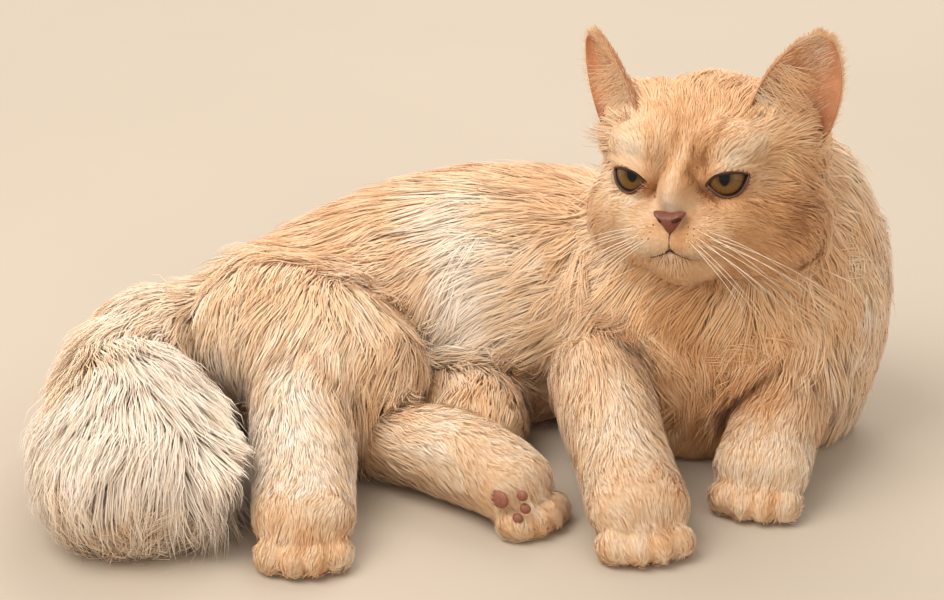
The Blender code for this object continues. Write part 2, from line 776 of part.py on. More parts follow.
def build_head():
    """The head with its sockets, lids, mouth and nose, and the eyes and ears on it."""
    head = head_solid("head")
    eye_names = {1: "eye_left", -1: "eye_right"}
    ear_names = {1: "ear_left", -1: "ear_right"}
    cuts = [nose_solid("cutter", GAP)]
    made = []
    for side, name in eye_names.items():
        place = (EYE_PLACE[0] * side, EYE_PLACE[1], EYE_PLACE[2])
        eye = ball(name, place, EYE_RADIUS)
        finish(eye, make_material(name, EYE_COLOUR, 0.15))
        cuts += [almond(side), ball("socket", place, EYE_RADIUS + GAP)]
    for cut in cuts:
        boolean(head, [cut], "DIFFERENCE")
    under_nose = NOSE_PLACE[2] - NOSE_HEIGHT / 2 - LINE_RADIUS
    lines = [groove([(0.0, under_nose - PHILTRUM_STEP * i) for i in range(5)], LINE_RADIUS)]
    lines += [groove(mouth_path(side), LINE_RADIUS) for side in (1, -1)]
    for line in lines:
        boolean(head, [line], "DIFFERENCE")
    nose = nose_solid("nose_leather", 0.0, True)
    finish(nose, make_material("nose_leather", NOSE_COLOUR, 0.5))
    made.append((head, lambda grow: head_solid("cutter", HEAD_SEGMENTS, HEAD_RINGS, grow)))
    for side, name in ear_names.items():
        ear = ear_solid(name, side)
        boolean(ear, [head_solid("cutter", HEAD_SEGMENTS, HEAD_RINGS, GAP)], "DIFFERENCE")
        finish(ear, make_material(name, SKIN_COLOUR, 0.7))
        made.append((ear, lambda grow, side=side: ear_solid("cutter", side, grow)))
    return made


def build_body(made):
    """The core of every stretch of the chains, each carved clear of those made before it."""
    for node in NODES:
        obj = node.solid()
        if node.name in TOES:
            boolean(obj, toes(node.chain, *TOES[node.name]), "UNION")
        low, high = bounds(obj)
        cutters = [cutter(GAP) for other, cutter in made if near(low, high, *bounds(other))]
        for cutter in cutters:
            boolean(obj, [cutter], "DIFFERENCE")
        made.append((obj, node.solid))


def lock_points(surface, place, coat, lift, margin):
    """The rings of points of one lock, which lies along the surface and tapers to its tip."""
    t, angle, length, width, drift, bend = place
    radius = max(SMALL_TURN, np.linalg.norm(surface.point(t, angle) - surface.frame(t)[0]))
    down = -math.copysign(1.0, math.cos(angle)) * abs(math.cos(angle)) ** 0.5
    centres = []
    normals = []
    for s in LOCK_STEPS:
        at = t + coat.flow * length * s * math.cos(drift * abs(down))
        turned = angle + length * (s * math.sin(drift) * down + bend * s * s) / radius
        rise = -(coat.depth + LOCK_SINK) * (1 - s) ** LOCK_RISE
        rise += (lift - coat.thick * LOCK_TUCK) * s
        inner = surface.point(at, turned, rise - 0.001, coat.splay)
        centre = surface.point(at, turned, rise, coat.splay)
        centre[2] = max(centre[2], FLOOR + LOCK_CLEAR + coat.thick * LOCK_SHAPE[0][1])
        centres.append(centre)
        normals.append(centre - inner)
    centres = np.array(centres)
    tangents = np.gradient(centres, axis=0)
    points = []
    for i, (wide, thick) in enumerate(LOCK_SHAPE):
        side = unit(np.cross(tangents[i], normals[i] + np.array([0.0, 0.0, 1e-6])))
        out = unit(np.cross(side, tangents[i])) * (coat.thick * thick + margin)
        half = side * (width / 2 * wide + margin)
        below = centres[i] - out * (1 - LOCK_ABOVE)
        points += [below + half, below - half, centres[i] + out * LOCK_ABOVE]
    points.append(centres[0])
    points.append(centres[-1] + unit(centres[-1] - centres[-2]) * margin)
    points = np.array(points)
    points[:, 2] = np.maximum(points[:, 2], FLOOR + LOCK_CLEAR - margin)
    return points


def tree_of(obj):
    """A search tree of a mesh's faces."""
    places = [vertex.co for vertex in obj.data.vertices]
    return BVHTree.FromPolygons(places, [face.vertices for face in obj.data.polygons])


def sunk(tree, point, least):
    """True where a point lies inside a closed mesh by at least a given depth."""
    if tree.find_nearest(Vector(point))[3] < least:
        return False
    crossings = 0
    place = Vector(point)
    while place is not None:
        place = tree.ray_cast(place, LOOK_ALONG)[0]
        if place is not None:
            crossings += 1
            place = place + LOOK_ALONG * LOOK_STEP
    return crossings % 2 == 1


class Cheeks:
    """The head's surface as rings about its forward axis, for the locks behind the face."""

    def __init__(self):
        self.coat = CHEEK

    def frame(self, _):
        """The head's centre."""
        return (np.array(HEAD_CENTRE),)

    def point(self, t, angle, grow=0.0, _=0.0):
        """A point at an arc t from the forward axis, where the tips of the locks lie."""
        polar = min(t / HEAD_ARC, math.pi * 0.95)
        across = math.sin(polar)
        direction = np.array([[across * math.cos(angle), math.cos(polar), across * math.sin(angle)]])
        reach = head_radius(direction)[0] + grow + CHEEK.depth
        return to_world(direction * reach)[0]

    def locks(self, draw):
        """Locks in rings behind the cheeks and jaw, none on the face or the crown."""
        for row, polar in enumerate(CHEEK_RINGS):
            for i in range(CHEEK_COUNT):
                share = (i + 0.5 * (row % 2) + 0.25) / CHEEK_COUNT
                angle = CHEEK_FROM + (CHEEK_TO - CHEEK_FROM) * share + draw.uniform(-0.06, 0.06)
                length = CHEEK.length * draw.uniform(0.85, 1.15)
                width = CHEEK.width * draw.uniform(0.85, 1.15)
                yield (polar * HEAD_ARC, angle, length, width, CHEEK.drift, draw.uniform(-0.2, 0.2))


def grow_locks(surface, source, obj, others, draw):
    """Roots a node's locks in its core and fuses them, each clear of the other nodes."""
    core = tree_of(obj)
    faces = []
    for first, *rest in tube_faces(len(LOCK_STEPS) - 1, 3):
        faces += [(first, a, b) for a, b in zip(rest, rest[1:])]
    pieces = []
    for t, angle, length, width, drift, bend in source.locks(draw):
        for share, turn, step, lift in LOCK_TRIES:
            start = t + step * source.coat.flow
            narrower = width * (0.4 + 0.6 * share)
            place = (start, angle, length * share, narrower, drift + turn, bend)
            wider = lock_points(surface, place, source.coat, lift, GAP)
            if not sunk(core, wider[-2], LOCK_ROOTED):
                continue
            tree = BVHTree.FromPolygons([Vector(p) for p in wider], faces)
            if any(tree.overlap(other) or sunk(other, wider[-1], 0.0) for other in others):
                continue
            pieces.append(add_object("lock", lock_points(surface, place, source.coat, lift, 0.0), faces))
            break
    if pieces:
        boolean(obj, pieces, "UNION", ("MANIFOLD", "EXACT"))


def set_on_origin():
    """Moves every mesh so that the middle of the part's footprint is at the origin."""
    meshes = [obj for obj in bpy.data.objects if obj.type == "MESH"]
    corners = np.array([bounds(obj) for obj in meshes])
    low = corners[:, 0].min(axis=0)
    high = corners[:, 1].max(axis=0)
    shift = Vector((-(low[0] + high[0]) / 2, -(low[1] + high[1]) / 2, -low[2]))
    for obj in meshes:
        for vertex in obj.data.vertices:
            vertex.co += shift
        obj.data.update()
    return shift


def main():
    """Builds every node, clear of its neighbours, and sets the part on its origin."""
    clear_scene()
    made = build_head()
    build_body(made)
    trees = {obj.name: tree_of(obj) for obj in bpy.data.objects}
    cheeks = Cheeks()
    coats = [("head", cheeks, cheeks)] + [(node.name, node.chain, node) for node in NODES if node.coat]
    for name, surface, source in coats:
        others = [tree for other, tree in trees.items() if other != name]
        obj = bpy.data.objects[name]
        grow_locks(surface, source, obj, others, random.Random(SEEDS.get(name, SEED)))
        trees[name] = tree_of(obj)
    finish(bpy.data.objects["head"], make_material("head", COAT_COLOUR, 0.9))
    for node in NODES:
        finish(bpy.data.objects[node.name], make_material(node.name, node.colour, 0.9))
    return set_on_origin()


if __name__ == "__main__":
    main()
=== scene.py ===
"""The looks of a life-size, long-haired cream cat that lies on the floor.

The skin repeats the swept ovals and the head's rounded forms of the solids, set in by
the depth of the coat. Hair grows from the skin as thin, tapered tufts that follow the lie
of the coat and gather into locks. Lengths are in metres, +Z is up, -Y is towards the
viewer and +X is to the viewer's right. Everything is modelled about the cat's own
starting point and moved onto the frame at the end.
"""

import logging
import math
from dataclasses import dataclass
from enum import Enum

import bmesh
import bpy
import numpy as np
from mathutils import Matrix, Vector
from mathutils.bvhtree import BVHTree
from mathutils.kdtree import KDTree


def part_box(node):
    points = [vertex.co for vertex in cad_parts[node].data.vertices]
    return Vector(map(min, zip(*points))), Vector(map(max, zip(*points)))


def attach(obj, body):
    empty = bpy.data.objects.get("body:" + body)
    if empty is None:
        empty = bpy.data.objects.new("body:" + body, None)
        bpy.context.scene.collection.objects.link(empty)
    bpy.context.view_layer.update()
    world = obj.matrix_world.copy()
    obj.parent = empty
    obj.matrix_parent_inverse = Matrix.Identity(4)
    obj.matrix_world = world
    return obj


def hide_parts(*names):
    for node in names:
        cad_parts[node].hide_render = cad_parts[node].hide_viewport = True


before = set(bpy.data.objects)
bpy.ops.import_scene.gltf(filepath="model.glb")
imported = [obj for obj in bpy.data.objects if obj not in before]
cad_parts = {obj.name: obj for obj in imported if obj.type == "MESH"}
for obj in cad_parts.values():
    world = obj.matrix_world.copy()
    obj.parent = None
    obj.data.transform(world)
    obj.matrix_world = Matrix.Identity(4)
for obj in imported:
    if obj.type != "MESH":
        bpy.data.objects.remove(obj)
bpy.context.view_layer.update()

log = logging.getLogger("cat")
SEED = 11
FLOOR = 0.0
PATCH = 0.003
SOFT = 1.15
MAP_NAME = "OFBake"


def unit(vectors: np.ndarray) -> np.ndarray:
    """Vectors at length one.

    Args:
        vectors: One vector or rows of them.

    Returns:
        The same directions with length one.
    """
    vectors = np.asarray(vectors, float)
    size = np.linalg.norm(vectors, axis=-1, keepdims=True)
    return vectors / np.maximum(size, 1e-9)


def flatten(vectors: np.ndarray, normals: np.ndarray) -> np.ndarray:
    """Vectors laid into the surface whose normals are given, at length one."""
    return unit(vectors - normals * np.sum(vectors * normals, axis=1, keepdims=True))


def ripple(points: np.ndarray, scale: float, seed: int) -> np.ndarray:
    """A smooth random wave over space.

    Args:
        points: Rows of places.
        scale: Rough size of one wave.
        seed: Which wave.

    Returns:
        A value for each place, mostly between -1 and 1.
    """
    draw = np.random.default_rng(seed)
    waves = unit(draw.normal(size=(7, 3))) * 2 * math.pi / scale * draw.uniform(0.6, 1.4, (7, 1))
    phases = draw.uniform(0, 2 * math.pi, 7)
    return np.sin(points @ waves.T + phases).sum(axis=1) / 2.6


def ease(values: np.ndarray, low: float, high: float) -> np.ndarray:
    """A smooth step from 0 at low to 1 at high."""
    t = np.clip((np.asarray(values, float) - low) / (high - low), 0, 1)
    return t * t * (3 - 2 * t)


def colour(red: int, green: int, blue: int) -> tuple[float, float, float, float]:
    """A linear colour from the three values of a paint chart, each 0 to 255."""
    parts = [v / 255 for v in (red, green, blue)]
    linear = [v / 12.92 if v <= 0.04045 else ((v + 0.055) / 1.055) ** 2.4 for v in parts]
    return (linear[0], linear[1], linear[2], 1.0)


def new_object(name: str, points: np.ndarray, faces: np.ndarray) -> bpy.types.Object:
    """A mesh object from arrays.

    Args:
        name: The object's name.
        points: Rows of places.
        faces: Rows of point numbers, all of the same count.

    Returns:
        The new object, in the scene.
    """
    faces = np.asarray(faces, np.int32)
    mesh = bpy.data.meshes.new(name)
    mesh.vertices.add(len(points))
    mesh.vertices.foreach_set("co", np.asarray(points, np.float32).ravel())
    mesh.loops.add(faces.size)
    mesh.loops.foreach_set("vertex_index", faces.ravel())
    mesh.polygons.add(len(faces))
    mesh.polygons.foreach_set("loop_start", np.arange(0, faces.size, faces.shape[1], dtype=np.int32))
    mesh.update(calc_edges=True)
    obj = bpy.data.objects.new(name, mesh)
    bpy.context.scene.collection.objects.link(obj)
    return obj


def points_of(obj: bpy.types.Object) -> np.ndarray:
    """The places of a mesh's points."""
    flat = np.empty(len(obj.data.vertices) * 3, np.float32)
    obj.data.vertices.foreach_get("co", flat)
    return flat.reshape(-1, 3).astype(float)


def set_points(obj: bpy.types.Object, points: np.ndarray) -> None:
    """Puts a mesh's points at new places."""
    obj.data.vertices.foreach_set("co", np.asarray(points, np.float32).ravel())
    obj.data.update()


def set_value(obj: bpy.types.Object, name: str, values: np.ndarray) -> None:
    """Stores one number for each point of a mesh under a name."""
    layer = obj.data.attributes.new(name, "FLOAT", "POINT")
    layer.data.foreach_set("value", np.asarray(values, np.float32))


def only(obj: bpy.types.Object, others: tuple[bpy.types.Object, ...] = ()) -> None:
    """Selects an object, with others where given, and makes it the active one."""
    bpy.ops.object.select_all(action="DESELECT")
    for other in (*others, obj):
        other.select_set(True)
    bpy.context.view_layer.objects.active = obj


def apply_all(obj: bpy.types.Object) -> None:
    """Applies every modifier of an object."""
    only(obj)
    for modifier in list(obj.modifiers):
        bpy.ops.object.modifier_apply(modifier=modifier.name)


def join(obj: bpy.types.Object, others: list[bpy.types.Object]) -> bpy.types.Object:
    """Joins other meshes into an object."""
    only(obj, tuple(others))
    bpy.ops.object.join()
    return obj


def cut(obj: bpy.types.Object, other: bpy.types.Object, operation: str, solver: str) -> None:
    """Applies a Boolean of two closed meshes and deletes the second.

    Args:
        obj: The mesh that stays.
        other: The mesh that cuts or is joined.
        operation: DIFFERENCE or UNION.
        solver: EXACT or MANIFOLD.
    """
    modifier = obj.modifiers.new("cut", "BOOLEAN")
    modifier.operation = operation
    modifier.solver = solver
    modifier.object = other
    apply_all(obj)
    bpy.data.objects.remove(other, do_unlink=True)


def tube_faces(rings: int, sides: int) -> list[tuple[int, ...]]:
    """Triangles between rings of points, closed by a last two points at the ends."""
    faces: list[tuple[int, ...]] = []
    for r in range(rings - 1):
        for s in range(sides):
            n = (s + 1) % sides
            a, b, c, d = r * sides + s, r * sides + n, (r + 1) * sides + n, (r + 1) * sides + s
            faces += [(a, b, c), (a, c, d)]
    last = (rings - 1) * sides
    for s in range(sides):
        n = (s + 1) % sides
        faces += [(n, s, rings * sides), (last + s, last + n, rings * sides + 1)]
    return faces


def face_out(obj: bpy.types.Object) -> bpy.types.Object:
    """Turns the faces of a closed mesh outwards and shades it smooth."""
    shape = bmesh.new()
    shape.from_mesh(obj.data)
    bmesh.ops.recalc_face_normals(shape, faces=shape.faces)
    shape.to_mesh(obj.data)
    shape.free()
    obj.data.shade_smooth()
    return obj


class Region(Enum):
    """The swept forms of the body."""

    FRONT = "front"
    TRUNK = "trunk"
    TAIL = "tail"
    FORELEG_RIGHT = "foreleg right"
    FORELEG_LEFT = "foreleg left"
    THIGH_RIGHT = "thigh right"
    HIND_RIGHT = "hind right"
    THIGH_LEFT = "thigh left"
    HIND_LEFT = "hind left"
    HEAD = "head"


@dataclass
class Swept:
    """An oval swept along a smooth curve, whose outline is the tips of the coat.

    A station is (x, y, z, half width, half height). Lengths run along the curve from 0
    and on over the rounded caps. Inset is the depth of the coat at both ends.
    """

    stations: tuple[tuple[float, ...], ...]
    caps: tuple[float, float]
    inset: tuple[float, float]
    up: tuple[float, float, float] = (0.0, 0.0, 1.0)
    toe: float = 0.0

    def __post_init__(self) -> None:
        """Samples the curve through the stations."""
        rows = np.array(self.stations)
        padded = np.vstack([2 * rows[0] - rows[1], rows, 2 * rows[-1] - rows[-2]])
        fine = []
        for i in range(1, len(padded) - 2):
            a, b, c, d = padded[i - 1 : i + 3]
            for s in np.linspace(0, 1, 16, endpoint=False):
                cubic = (3 * b - a - 3 * c + d) * s**3 + (2 * a - 5 * b + 4 * c - d) * s**2
                fine.append(b + 0.5 * ((c - a) * s + cubic))
        fine.append(rows[-1])
        self.rows = np.array(fine)
        steps = np.linalg.norm(np.diff(self.rows[:, :3], axis=0), axis=1)
        self.along = np.concatenate([[0], np.cumsum(steps)])
        self.length = float(self.along[-1])
        self.tangents = np.gradient(self.rows[:, :3], self.along, axis=0)

    def frames(self, lengths: np.ndarray) -> dict[str, np.ndarray]:
        """The oval's centre, axes and half sizes, coat included, at some lengths.

        Args:
            lengths: Lengths along the curve.

        Returns:
            Arrays under the names centre, side, rise, tangent, size and over, which is
            how far each length lies past an end.
        """
        inside = np.clip(lengths, 0, self.length)
        row = np.stack([np.interp(inside, self.along, self.rows[:, k]) for k in range(5)], 1)
        tangent = unit(np.stack([np.interp(inside, self.along, self.tangents[:, k]) for k in range(3)], 1))
        side = unit(np.cross(tangent, self.up))
        over = lengths - inside
        centre = row[:, :3] + tangent * over[:, None]
        rise = np.cross(side, tangent)
        return {"centre": centre, "side": side, "rise": rise, "tangent": tangent, "size": row[:, 3:], "over": over}

    def depth(self, lengths: np.ndarray) -> np.ndarray:
        """How deep the coat is at some lengths."""
        return np.interp(lengths / self.length, [0, 1], self.inset)

    def skin(self, name: str, sides: int = 44, step: float = 0.003) -> bpy.types.Object:
        """The closed form of the skin, the coat's depth inside the outline."""
        ends = [self.caps[0] - self.inset[0], self.caps[1] - self.inset[1] - (0.0035 if self.toe else 0.0)]
        start = [-max(ends[0], 0.0) * s for s in (0.96, 0.8, 0.5, 0.2)] if ends[0] > 0 else []
        stop = [self.length + max(ends[1], 0.0) * s for s in (0.2, 0.5, 0.8, 0.96)] if ends[1] > 0 else []
        lengths = np.array([*start, *np.linspace(0, self.length, int(self.length / step) + 2), *stop])
        at = self.frames(lengths)
        cap = np.where(lengths < 0, max(ends[0], 1e-6), max(ends[1], 1e-6))
        share = np.sqrt(np.clip(1 - (at["over"] / cap) ** 2, 0.02, 1))
        size = (at["size"] - self.depth(lengths)[:, None]) * share[:, None]
        angles = np.linspace(0, 2 * math.pi, sides, endpoint=False)
        ring = at["side"][:, None] * (size[:, :1] * np.cos(angles))[..., None]
        ring = ring + at["rise"][:, None] * (size[:, 1:] * np.sin(angles))[..., None]
        points = (at["centre"][:, None] + ring).reshape(-1, 3)
        tips = self.frames(np.array([min(-ends[0], 0.0), self.length + max(ends[1], 0.0)]))["centre"]
        points = np.vstack([points, tips])
        points[:, 2] = np.maximum(points[:, 2], FLOOR + 0.0010)
        return face_out(new_object(name, points, tube_faces(len(lengths), sides)))

    def toes(self, name: str) -> list[bpy.types.Object]:
        """Four small balls at the end of a paw."""
        at = self.frames(np.array([self.length]))
        pieces = []
        for i in range(4):
            share = (i + 0.5) / 2 - 1
            place = at["centre"][0] + at["side"][0] * at["size"][0][0] * 0.78 * share
            place = place + at["tangent"][0] * self.caps[1] * (0.84 - 0.42 * share**2)
            place[2] = self.toe * 0.86
            bpy.ops.mesh.primitive_uv_sphere_add(segments=24, ring_count=16, radius=self.toe * 0.86, location=(0, 0, 0))
            ball = bpy.context.object
            ball.name = f"{name} toe {i}"
            points = points_of(ball)
            ahead = points @ at["tangent"][0]
            set_points(ball, points + at["tangent"][0] * ahead[:, None] * 0.32 + place)
            pieces.append(ball)
        return pieces

    def crease(self, points: np.ndarray) -> np.ndarray:
        """How near places lie to the grooves between the toes, from 0 to 1."""
        at = self.frames(np.array([self.length]))
        gap = points - at["centre"][0]
        step = at["size"][0][0] * 0.78 * 0.5
        across = gap @ at["side"][0] / step
        away = np.abs(across - np.clip(np.round(across), -1, 1)) * step
        ahead = ease(gap @ at["tangent"][0], self.caps[1] * 0.35, self.caps[1] * 0.80)
        close = (np.linalg.norm(gap, axis=1) < 0.05) * ease(-points[:, 2], -0.024, -0.014)
        return np.exp(-((away / 0.0013) ** 2)) * ahead * close

    def nearest(self, points: np.ndarray) -> dict[str, np.ndarray]:
        """Where places lie against this form.

        Args:
            points: Rows of places.

        Returns:
            Arrays under the names value (distance outside the skin), length, angle and
            tangent.
        """
        at = self.frames(self.along[::2])
        centres = at["centre"]
        square = (centres**2).sum(axis=1)[None] - 2 * points @ centres.T
        index = np.argmin(square, axis=1)
        gap = points - centres[index]
        length = self.along[::2][index] + np.sum(gap * at["tangent"][index], axis=1)
        size = at["size"][index] - self.depth(self.along[::2][index])[:, None]
        across = np.sum(gap * at["side"][index], axis=1) / size[:, 0]
        above = np.sum(gap * at["rise"][index], axis=1) / size[:, 1]
        over = np.maximum(np.maximum(-length, length - self.length), 0) / size.min(axis=1)
        radial = np.sqrt(across**2 + above**2 + over**2)
        value = (radial - 1) * size.min(axis=1)
        return {"value": value, "length": length, "angle": np.arctan2(above, across), "tangent": at["tangent"][index]}


BODY: dict[Region, Swept] = {
    Region.FRONT: Swept(
        (
            (0.122, 0.030, 0.000, 0.070, 0.044),
            (0.121, 0.031, 0.035, 0.082, 0.057),
            (0.124, 0.036, 0.075, 0.085, 0.063),
            (0.124, 0.043, 0.110, 0.077, 0.054),
            (0.121, 0.046, 0.138, 0.058, 0.040),
        ),
        (0.0, 0.022),
        (0.011, 0.014),
        (0.0, 1.0, 0.0),
    ),
    Region.TRUNK: Swept(
        (
            (0.110, 0.064, 0.055, 0.056, 0.058),
            (0.068, 0.074, 0.049, 0.067, 0.069),
            (0.015, 0.080, 0.046, 0.072, 0.075),
            (-0.035, 0.074, 0.044, 0.065, 0.069),
            (-0.080, 0.055, 0.040, 0.060, 0.057),
            (-0.112, 0.042, 0.037, 0.050, 0.049),
        ),
        (0.030, 0.030),
        (0.013, 0.013),
    ),
    Region.TAIL: Swept(
        (
            (-0.118, 0.052, 0.040, 0.026, 0.030),
            (-0.152, 0.034, 0.042, 0.036, 0.040),
            (-0.165, -0.008, 0.040, 0.040, 0.042),
            (-0.158, -0.050, 0.037, 0.050, 0.042),
            (-0.149, -0.084, 0.030, 0.053, 0.036),
        ),
        (0.0, 0.036),
        (0.015, 0.020),
    ),
    Region.FORELEG_RIGHT: Swept(
        (
            (0.060, -0.006, 0.043, 0.024, 0.027),
            (0.063, -0.030, 0.038, 0.0235, 0.026),
            (0.070, -0.066, 0.026, 0.0225, 0.022),
            (0.0755, -0.096, 0.0180, 0.0245, 0.0180),
        ),
        (0.014, 0.019),
        (0.0045, 0.0025),
        toe=0.0085,
    ),
    Region.FORELEG_LEFT: Swept(
        (
            (0.157, 0.008, 0.040, 0.024, 0.026),
            (0.151, -0.008, 0.036, 0.024, 0.025),
            (0.141, -0.036, 0.024, 0.022, 0.021),
            (0.1345, -0.056, 0.0175, 0.0235, 0.0175),
        ),
        (0.014, 0.018),
        (0.0045, 0.0025),
        toe=0.0082,
    ),
    Region.THIGH_RIGHT: Swept(
        (
            (-0.108, 0.038, 0.050, 0.042, 0.043),
            (-0.075, 0.012, 0.052, 0.043, 0.040),
            (-0.048, -0.008, 0.044, 0.032, 0.033),
        ),
        (0.025, 0.026),
        (0.010, 0.009),
    ),
    Region.HIND_RIGHT: Swept(
        (
            (-0.074, -0.004, 0.048, 0.030, 0.030),
            (-0.078, -0.040, 0.036, 0.0265, 0.026),
            (-0.077, -0.074, 0.024, 0.0240, 0.022),
            (-0.0755, -0.104, 0.0170, 0.0240, 0.0170),
        ),
        (0.018, 0.022),
        (0.0050, 0.0025),
        toe=0.0082,
    ),
    Region.THIGH_LEFT: Swept(
        (
            (-0.012, 0.034, 0.018, 0.030, 0.024),
            (-0.002, 0.008, 0.019, 0.030, 0.024),
            (0.002, -0.014, 0.018, 0.026, 0.021),
        ),
        (0.012, 0.018),
        (0.0060, 0.0050),
    ),
    Region.HIND_LEFT: Swept(
        (
            (-0.040, -0.026, 0.019, 0.020, 0.019),
            (-0.012, -0.044, 0.021, 0.022, 0.021),
            (0.008, -0.060, 0.020, 0.0215, 0.020),
            (0.020, -0.072, 0.0175, 0.0210, 0.0175),
        ),
        (0.014, 0.018),
        (0.0045, 0.0025),
        toe=0.0078,
    ),
}


@dataclass
class HeadForm:
    """The head in its own axes: left (the cat's), forward (the way it faces) and up."""

    centre: tuple[float, float, float] = (0.1112, 0.0123, 0.1363)
    yaw: float = math.radians(25.7)
    pitch: float = math.radians(8.0)
    roll: float = math.radians(-6.4)
    blend: float = 0.007
    eye_place: tuple[float, float, float] = (0.0215, 0.0310, 0.0080)
    eye_radius: float = 0.0112
    lid: float = 0.0013
    eye_turn: float = math.radians(20)
    eye_slant: float = math.radians(13)
    eye_width: float = 0.0192
    eye_upper: float = 0.0037
    eye_lower: float = 0.0076
    nose_place: tuple[float, float, float] = (0.0, 0.0500, -0.0096)
    mouth_up: float = -0.0235
    mouth_width: float = 0.021
    mouth_drop: float = 0.0045
    face_inset: float = 0.0010
    cheek_inset: float = 0.0055
    forms: tuple[tuple[tuple[float, ...], tuple[float, ...]], ...] = (
        ((0.000, -0.010, 0.007), (0.048, 0.044, 0.0435)),
        ((0.000, 0.004, -0.018), (0.040, 0.040, 0.028)),
        ((0.027, 0.000, -0.016), (0.032, 0.032, 0.028)),
        ((0.033, -0.009, 0.020), (0.022, 0.027, 0.027)),
        ((0.019, 0.026, 0.020), (0.017, 0.015, 0.012)),
        ((0.022, 0.024, -0.010), (0.018, 0.020, 0.014)),
        ((0.0095, 0.0405, -0.0200), (0.0135, 0.0135, 0.0105)),
        ((0.000, 0.034, 0.002), (0.0095, 0.0180, 0.0130)),
        ((0.000, 0.0345, -0.0320), (0.0135, 0.0130, 0.0100)),
    )

    def __post_init__(self) -> None:
        """Works out the head's axes."""
        forward = np.array([-math.sin(self.yaw), -math.cos(self.yaw), 0.0])
        left = np.array([math.cos(self.yaw), -math.sin(self.yaw), 0.0])
        up = np.array([0.0, 0.0, 1.0])
        cos, sin = math.cos(self.pitch), math.sin(self.pitch)
        forward, up = forward * cos + up * sin, up * cos - forward * sin
        cos, sin = math.cos(self.roll), math.sin(self.roll)
        left, up = left * cos - up * sin, up * cos + left * sin
        self.axes = np.array([left, forward, up])

    def to_world(self, points: np.ndarray) -> np.ndarray:
        """Places in the head's axes, in the world."""
        return np.array(self.centre) + np.atleast_2d(points) @ self.axes

    def to_local(self, points: np.ndarray) -> np.ndarray:
        """Places in the world, in the head's axes."""
        return (np.atleast_2d(points) - np.array(self.centre)) @ self.axes.T

    def blended(self, a: np.ndarray, b: np.ndarray, reach: float) -> np.ndarray:
        """The smaller of two fields with a rounded join."""
        h = np.clip(0.5 + 0.5 * (b - a) / reach, 0, 1)
        return b + (a - b) * h - reach * h * (1 - h)

    def eye(self, side: int) -> np.ndarray:
        """The centre of an eyeball, 1 for the left and -1 for the right."""
        return np.array([self.eye_place[0] * side, self.eye_place[1], self.eye_place[2]])

    def eye_axes(self, side: int) -> tuple[np.ndarray, np.ndarray, np.ndarray]:
        """Across the eye's opening away from the nose, out of the head, and above."""
        outward = np.array([math.sin(self.eye_turn) * side, math.cos(self.eye_turn), 0.0])
        across = np.array([math.cos(self.eye_turn) * side, -math.sin(self.eye_turn), 0.0])
        across = across * math.cos(self.eye_slant) + np.array([0.0, 0.0, math.sin(self.eye_slant)])
        return across, outward, np.cross(across, outward) * side

    def field(self, points: np.ndarray, grow: np.ndarray) -> np.ndarray:
        """Below zero inside the head, which is moved out by grow."""
        value = None
        for centre, radii in self.forms:
            for mirror in (1, -1) if centre[0] else (1,):
                size = np.array(radii)[None] + grow[:, None]
                gap = (points - np.array([centre[0] * mirror, centre[1], centre[2]])) / size
                near = (np.linalg.norm(gap, axis=1) - 1) * size.min(axis=1)
                value = near if value is None else self.blended(value, near, self.blend)
        for mirror in (1, -1):
            near = np.linalg.norm(points - self.eye(mirror), axis=1) - self.eye_radius - self.lid - grow * 0.2
            value = self.blended(value, near, 0.002)
        return value

    def inset(self, directions: np.ndarray) -> np.ndarray:
        """How deep the coat is in each direction from the head's centre."""
        polar = np.arccos(np.clip(directions[:, 1], -1, 1))
        return self.face_inset + (self.cheek_inset - self.face_inset) * ease(polar, 0.8, 1.7)

    def radius(self, directions: np.ndarray) -> np.ndarray:
        """How far the skin reaches in each direction from the head's centre."""
        near = np.zeros(len(directions))
        far = np.full(len(directions), 0.09)
        grow = -self.inset(directions)
        for _ in range(20):
            middle = (near + far) / 2
            inside = self.field(directions * middle[:, None], grow) < 0
            near = np.where(inside, middle, near)
            far = np.where(inside, far, middle)
        return near

    def on_face(self, left: float, up: float) -> np.ndarray:
        """The place of the skin that lies ahead at a distance left of and above the centre."""
        forward = 0.045
        for _ in range(8):
            direction = unit(np.array([[left, forward, up]]))
            forward = float((direction * self.radius(direction)[:, None])[0, 1])
        return np.array([left, forward, up])

    def mouth(self, side: int, share: float) -> tuple[float, float]:
        """Left and up of the line of the mouth at a share of its way to the corner."""
        return side * share * self.mouth_width, self.mouth_up - self.mouth_drop * math.sin(share * 2.4)

    def creases(self, points: np.ndarray) -> np.ndarray:
        """How deep the skin sinks at the mouth, under the nose and between the brows."""
        depth = np.zeros(len(points))
        paths = [([self.mouth(side, s) for s in np.linspace(0, 1, 24)], 0.0018, 0.0012) for side in (1, -1)]
        paths.append(([(0.0, -0.0130 - 0.0004 * i) for i in range(26)], 0.0007, 0.0008))
        for side in (1, -1):
            brow = [(side * (0.0052 + 0.00012 * i), 0.010 + 0.0009 * i) for i in range(20)]
            paths.append((brow, 0.0010, 0.0016))
            corner = [(side * (0.0115 - 0.00022 * i), 0.0035 - 0.0006 * i) for i in range(10)]
            paths.append((corner, 0.0007, 0.0011))
        front = points[:, 1] > 0.015
        for path, deep, wide in paths:
            gap = np.linalg.norm(points[:, None, ::2] - np.array(path)[None], axis=2).min(axis=1)
            depth += np.where(front, deep * np.exp(-((gap / wide) ** 2)), 0)
        return depth

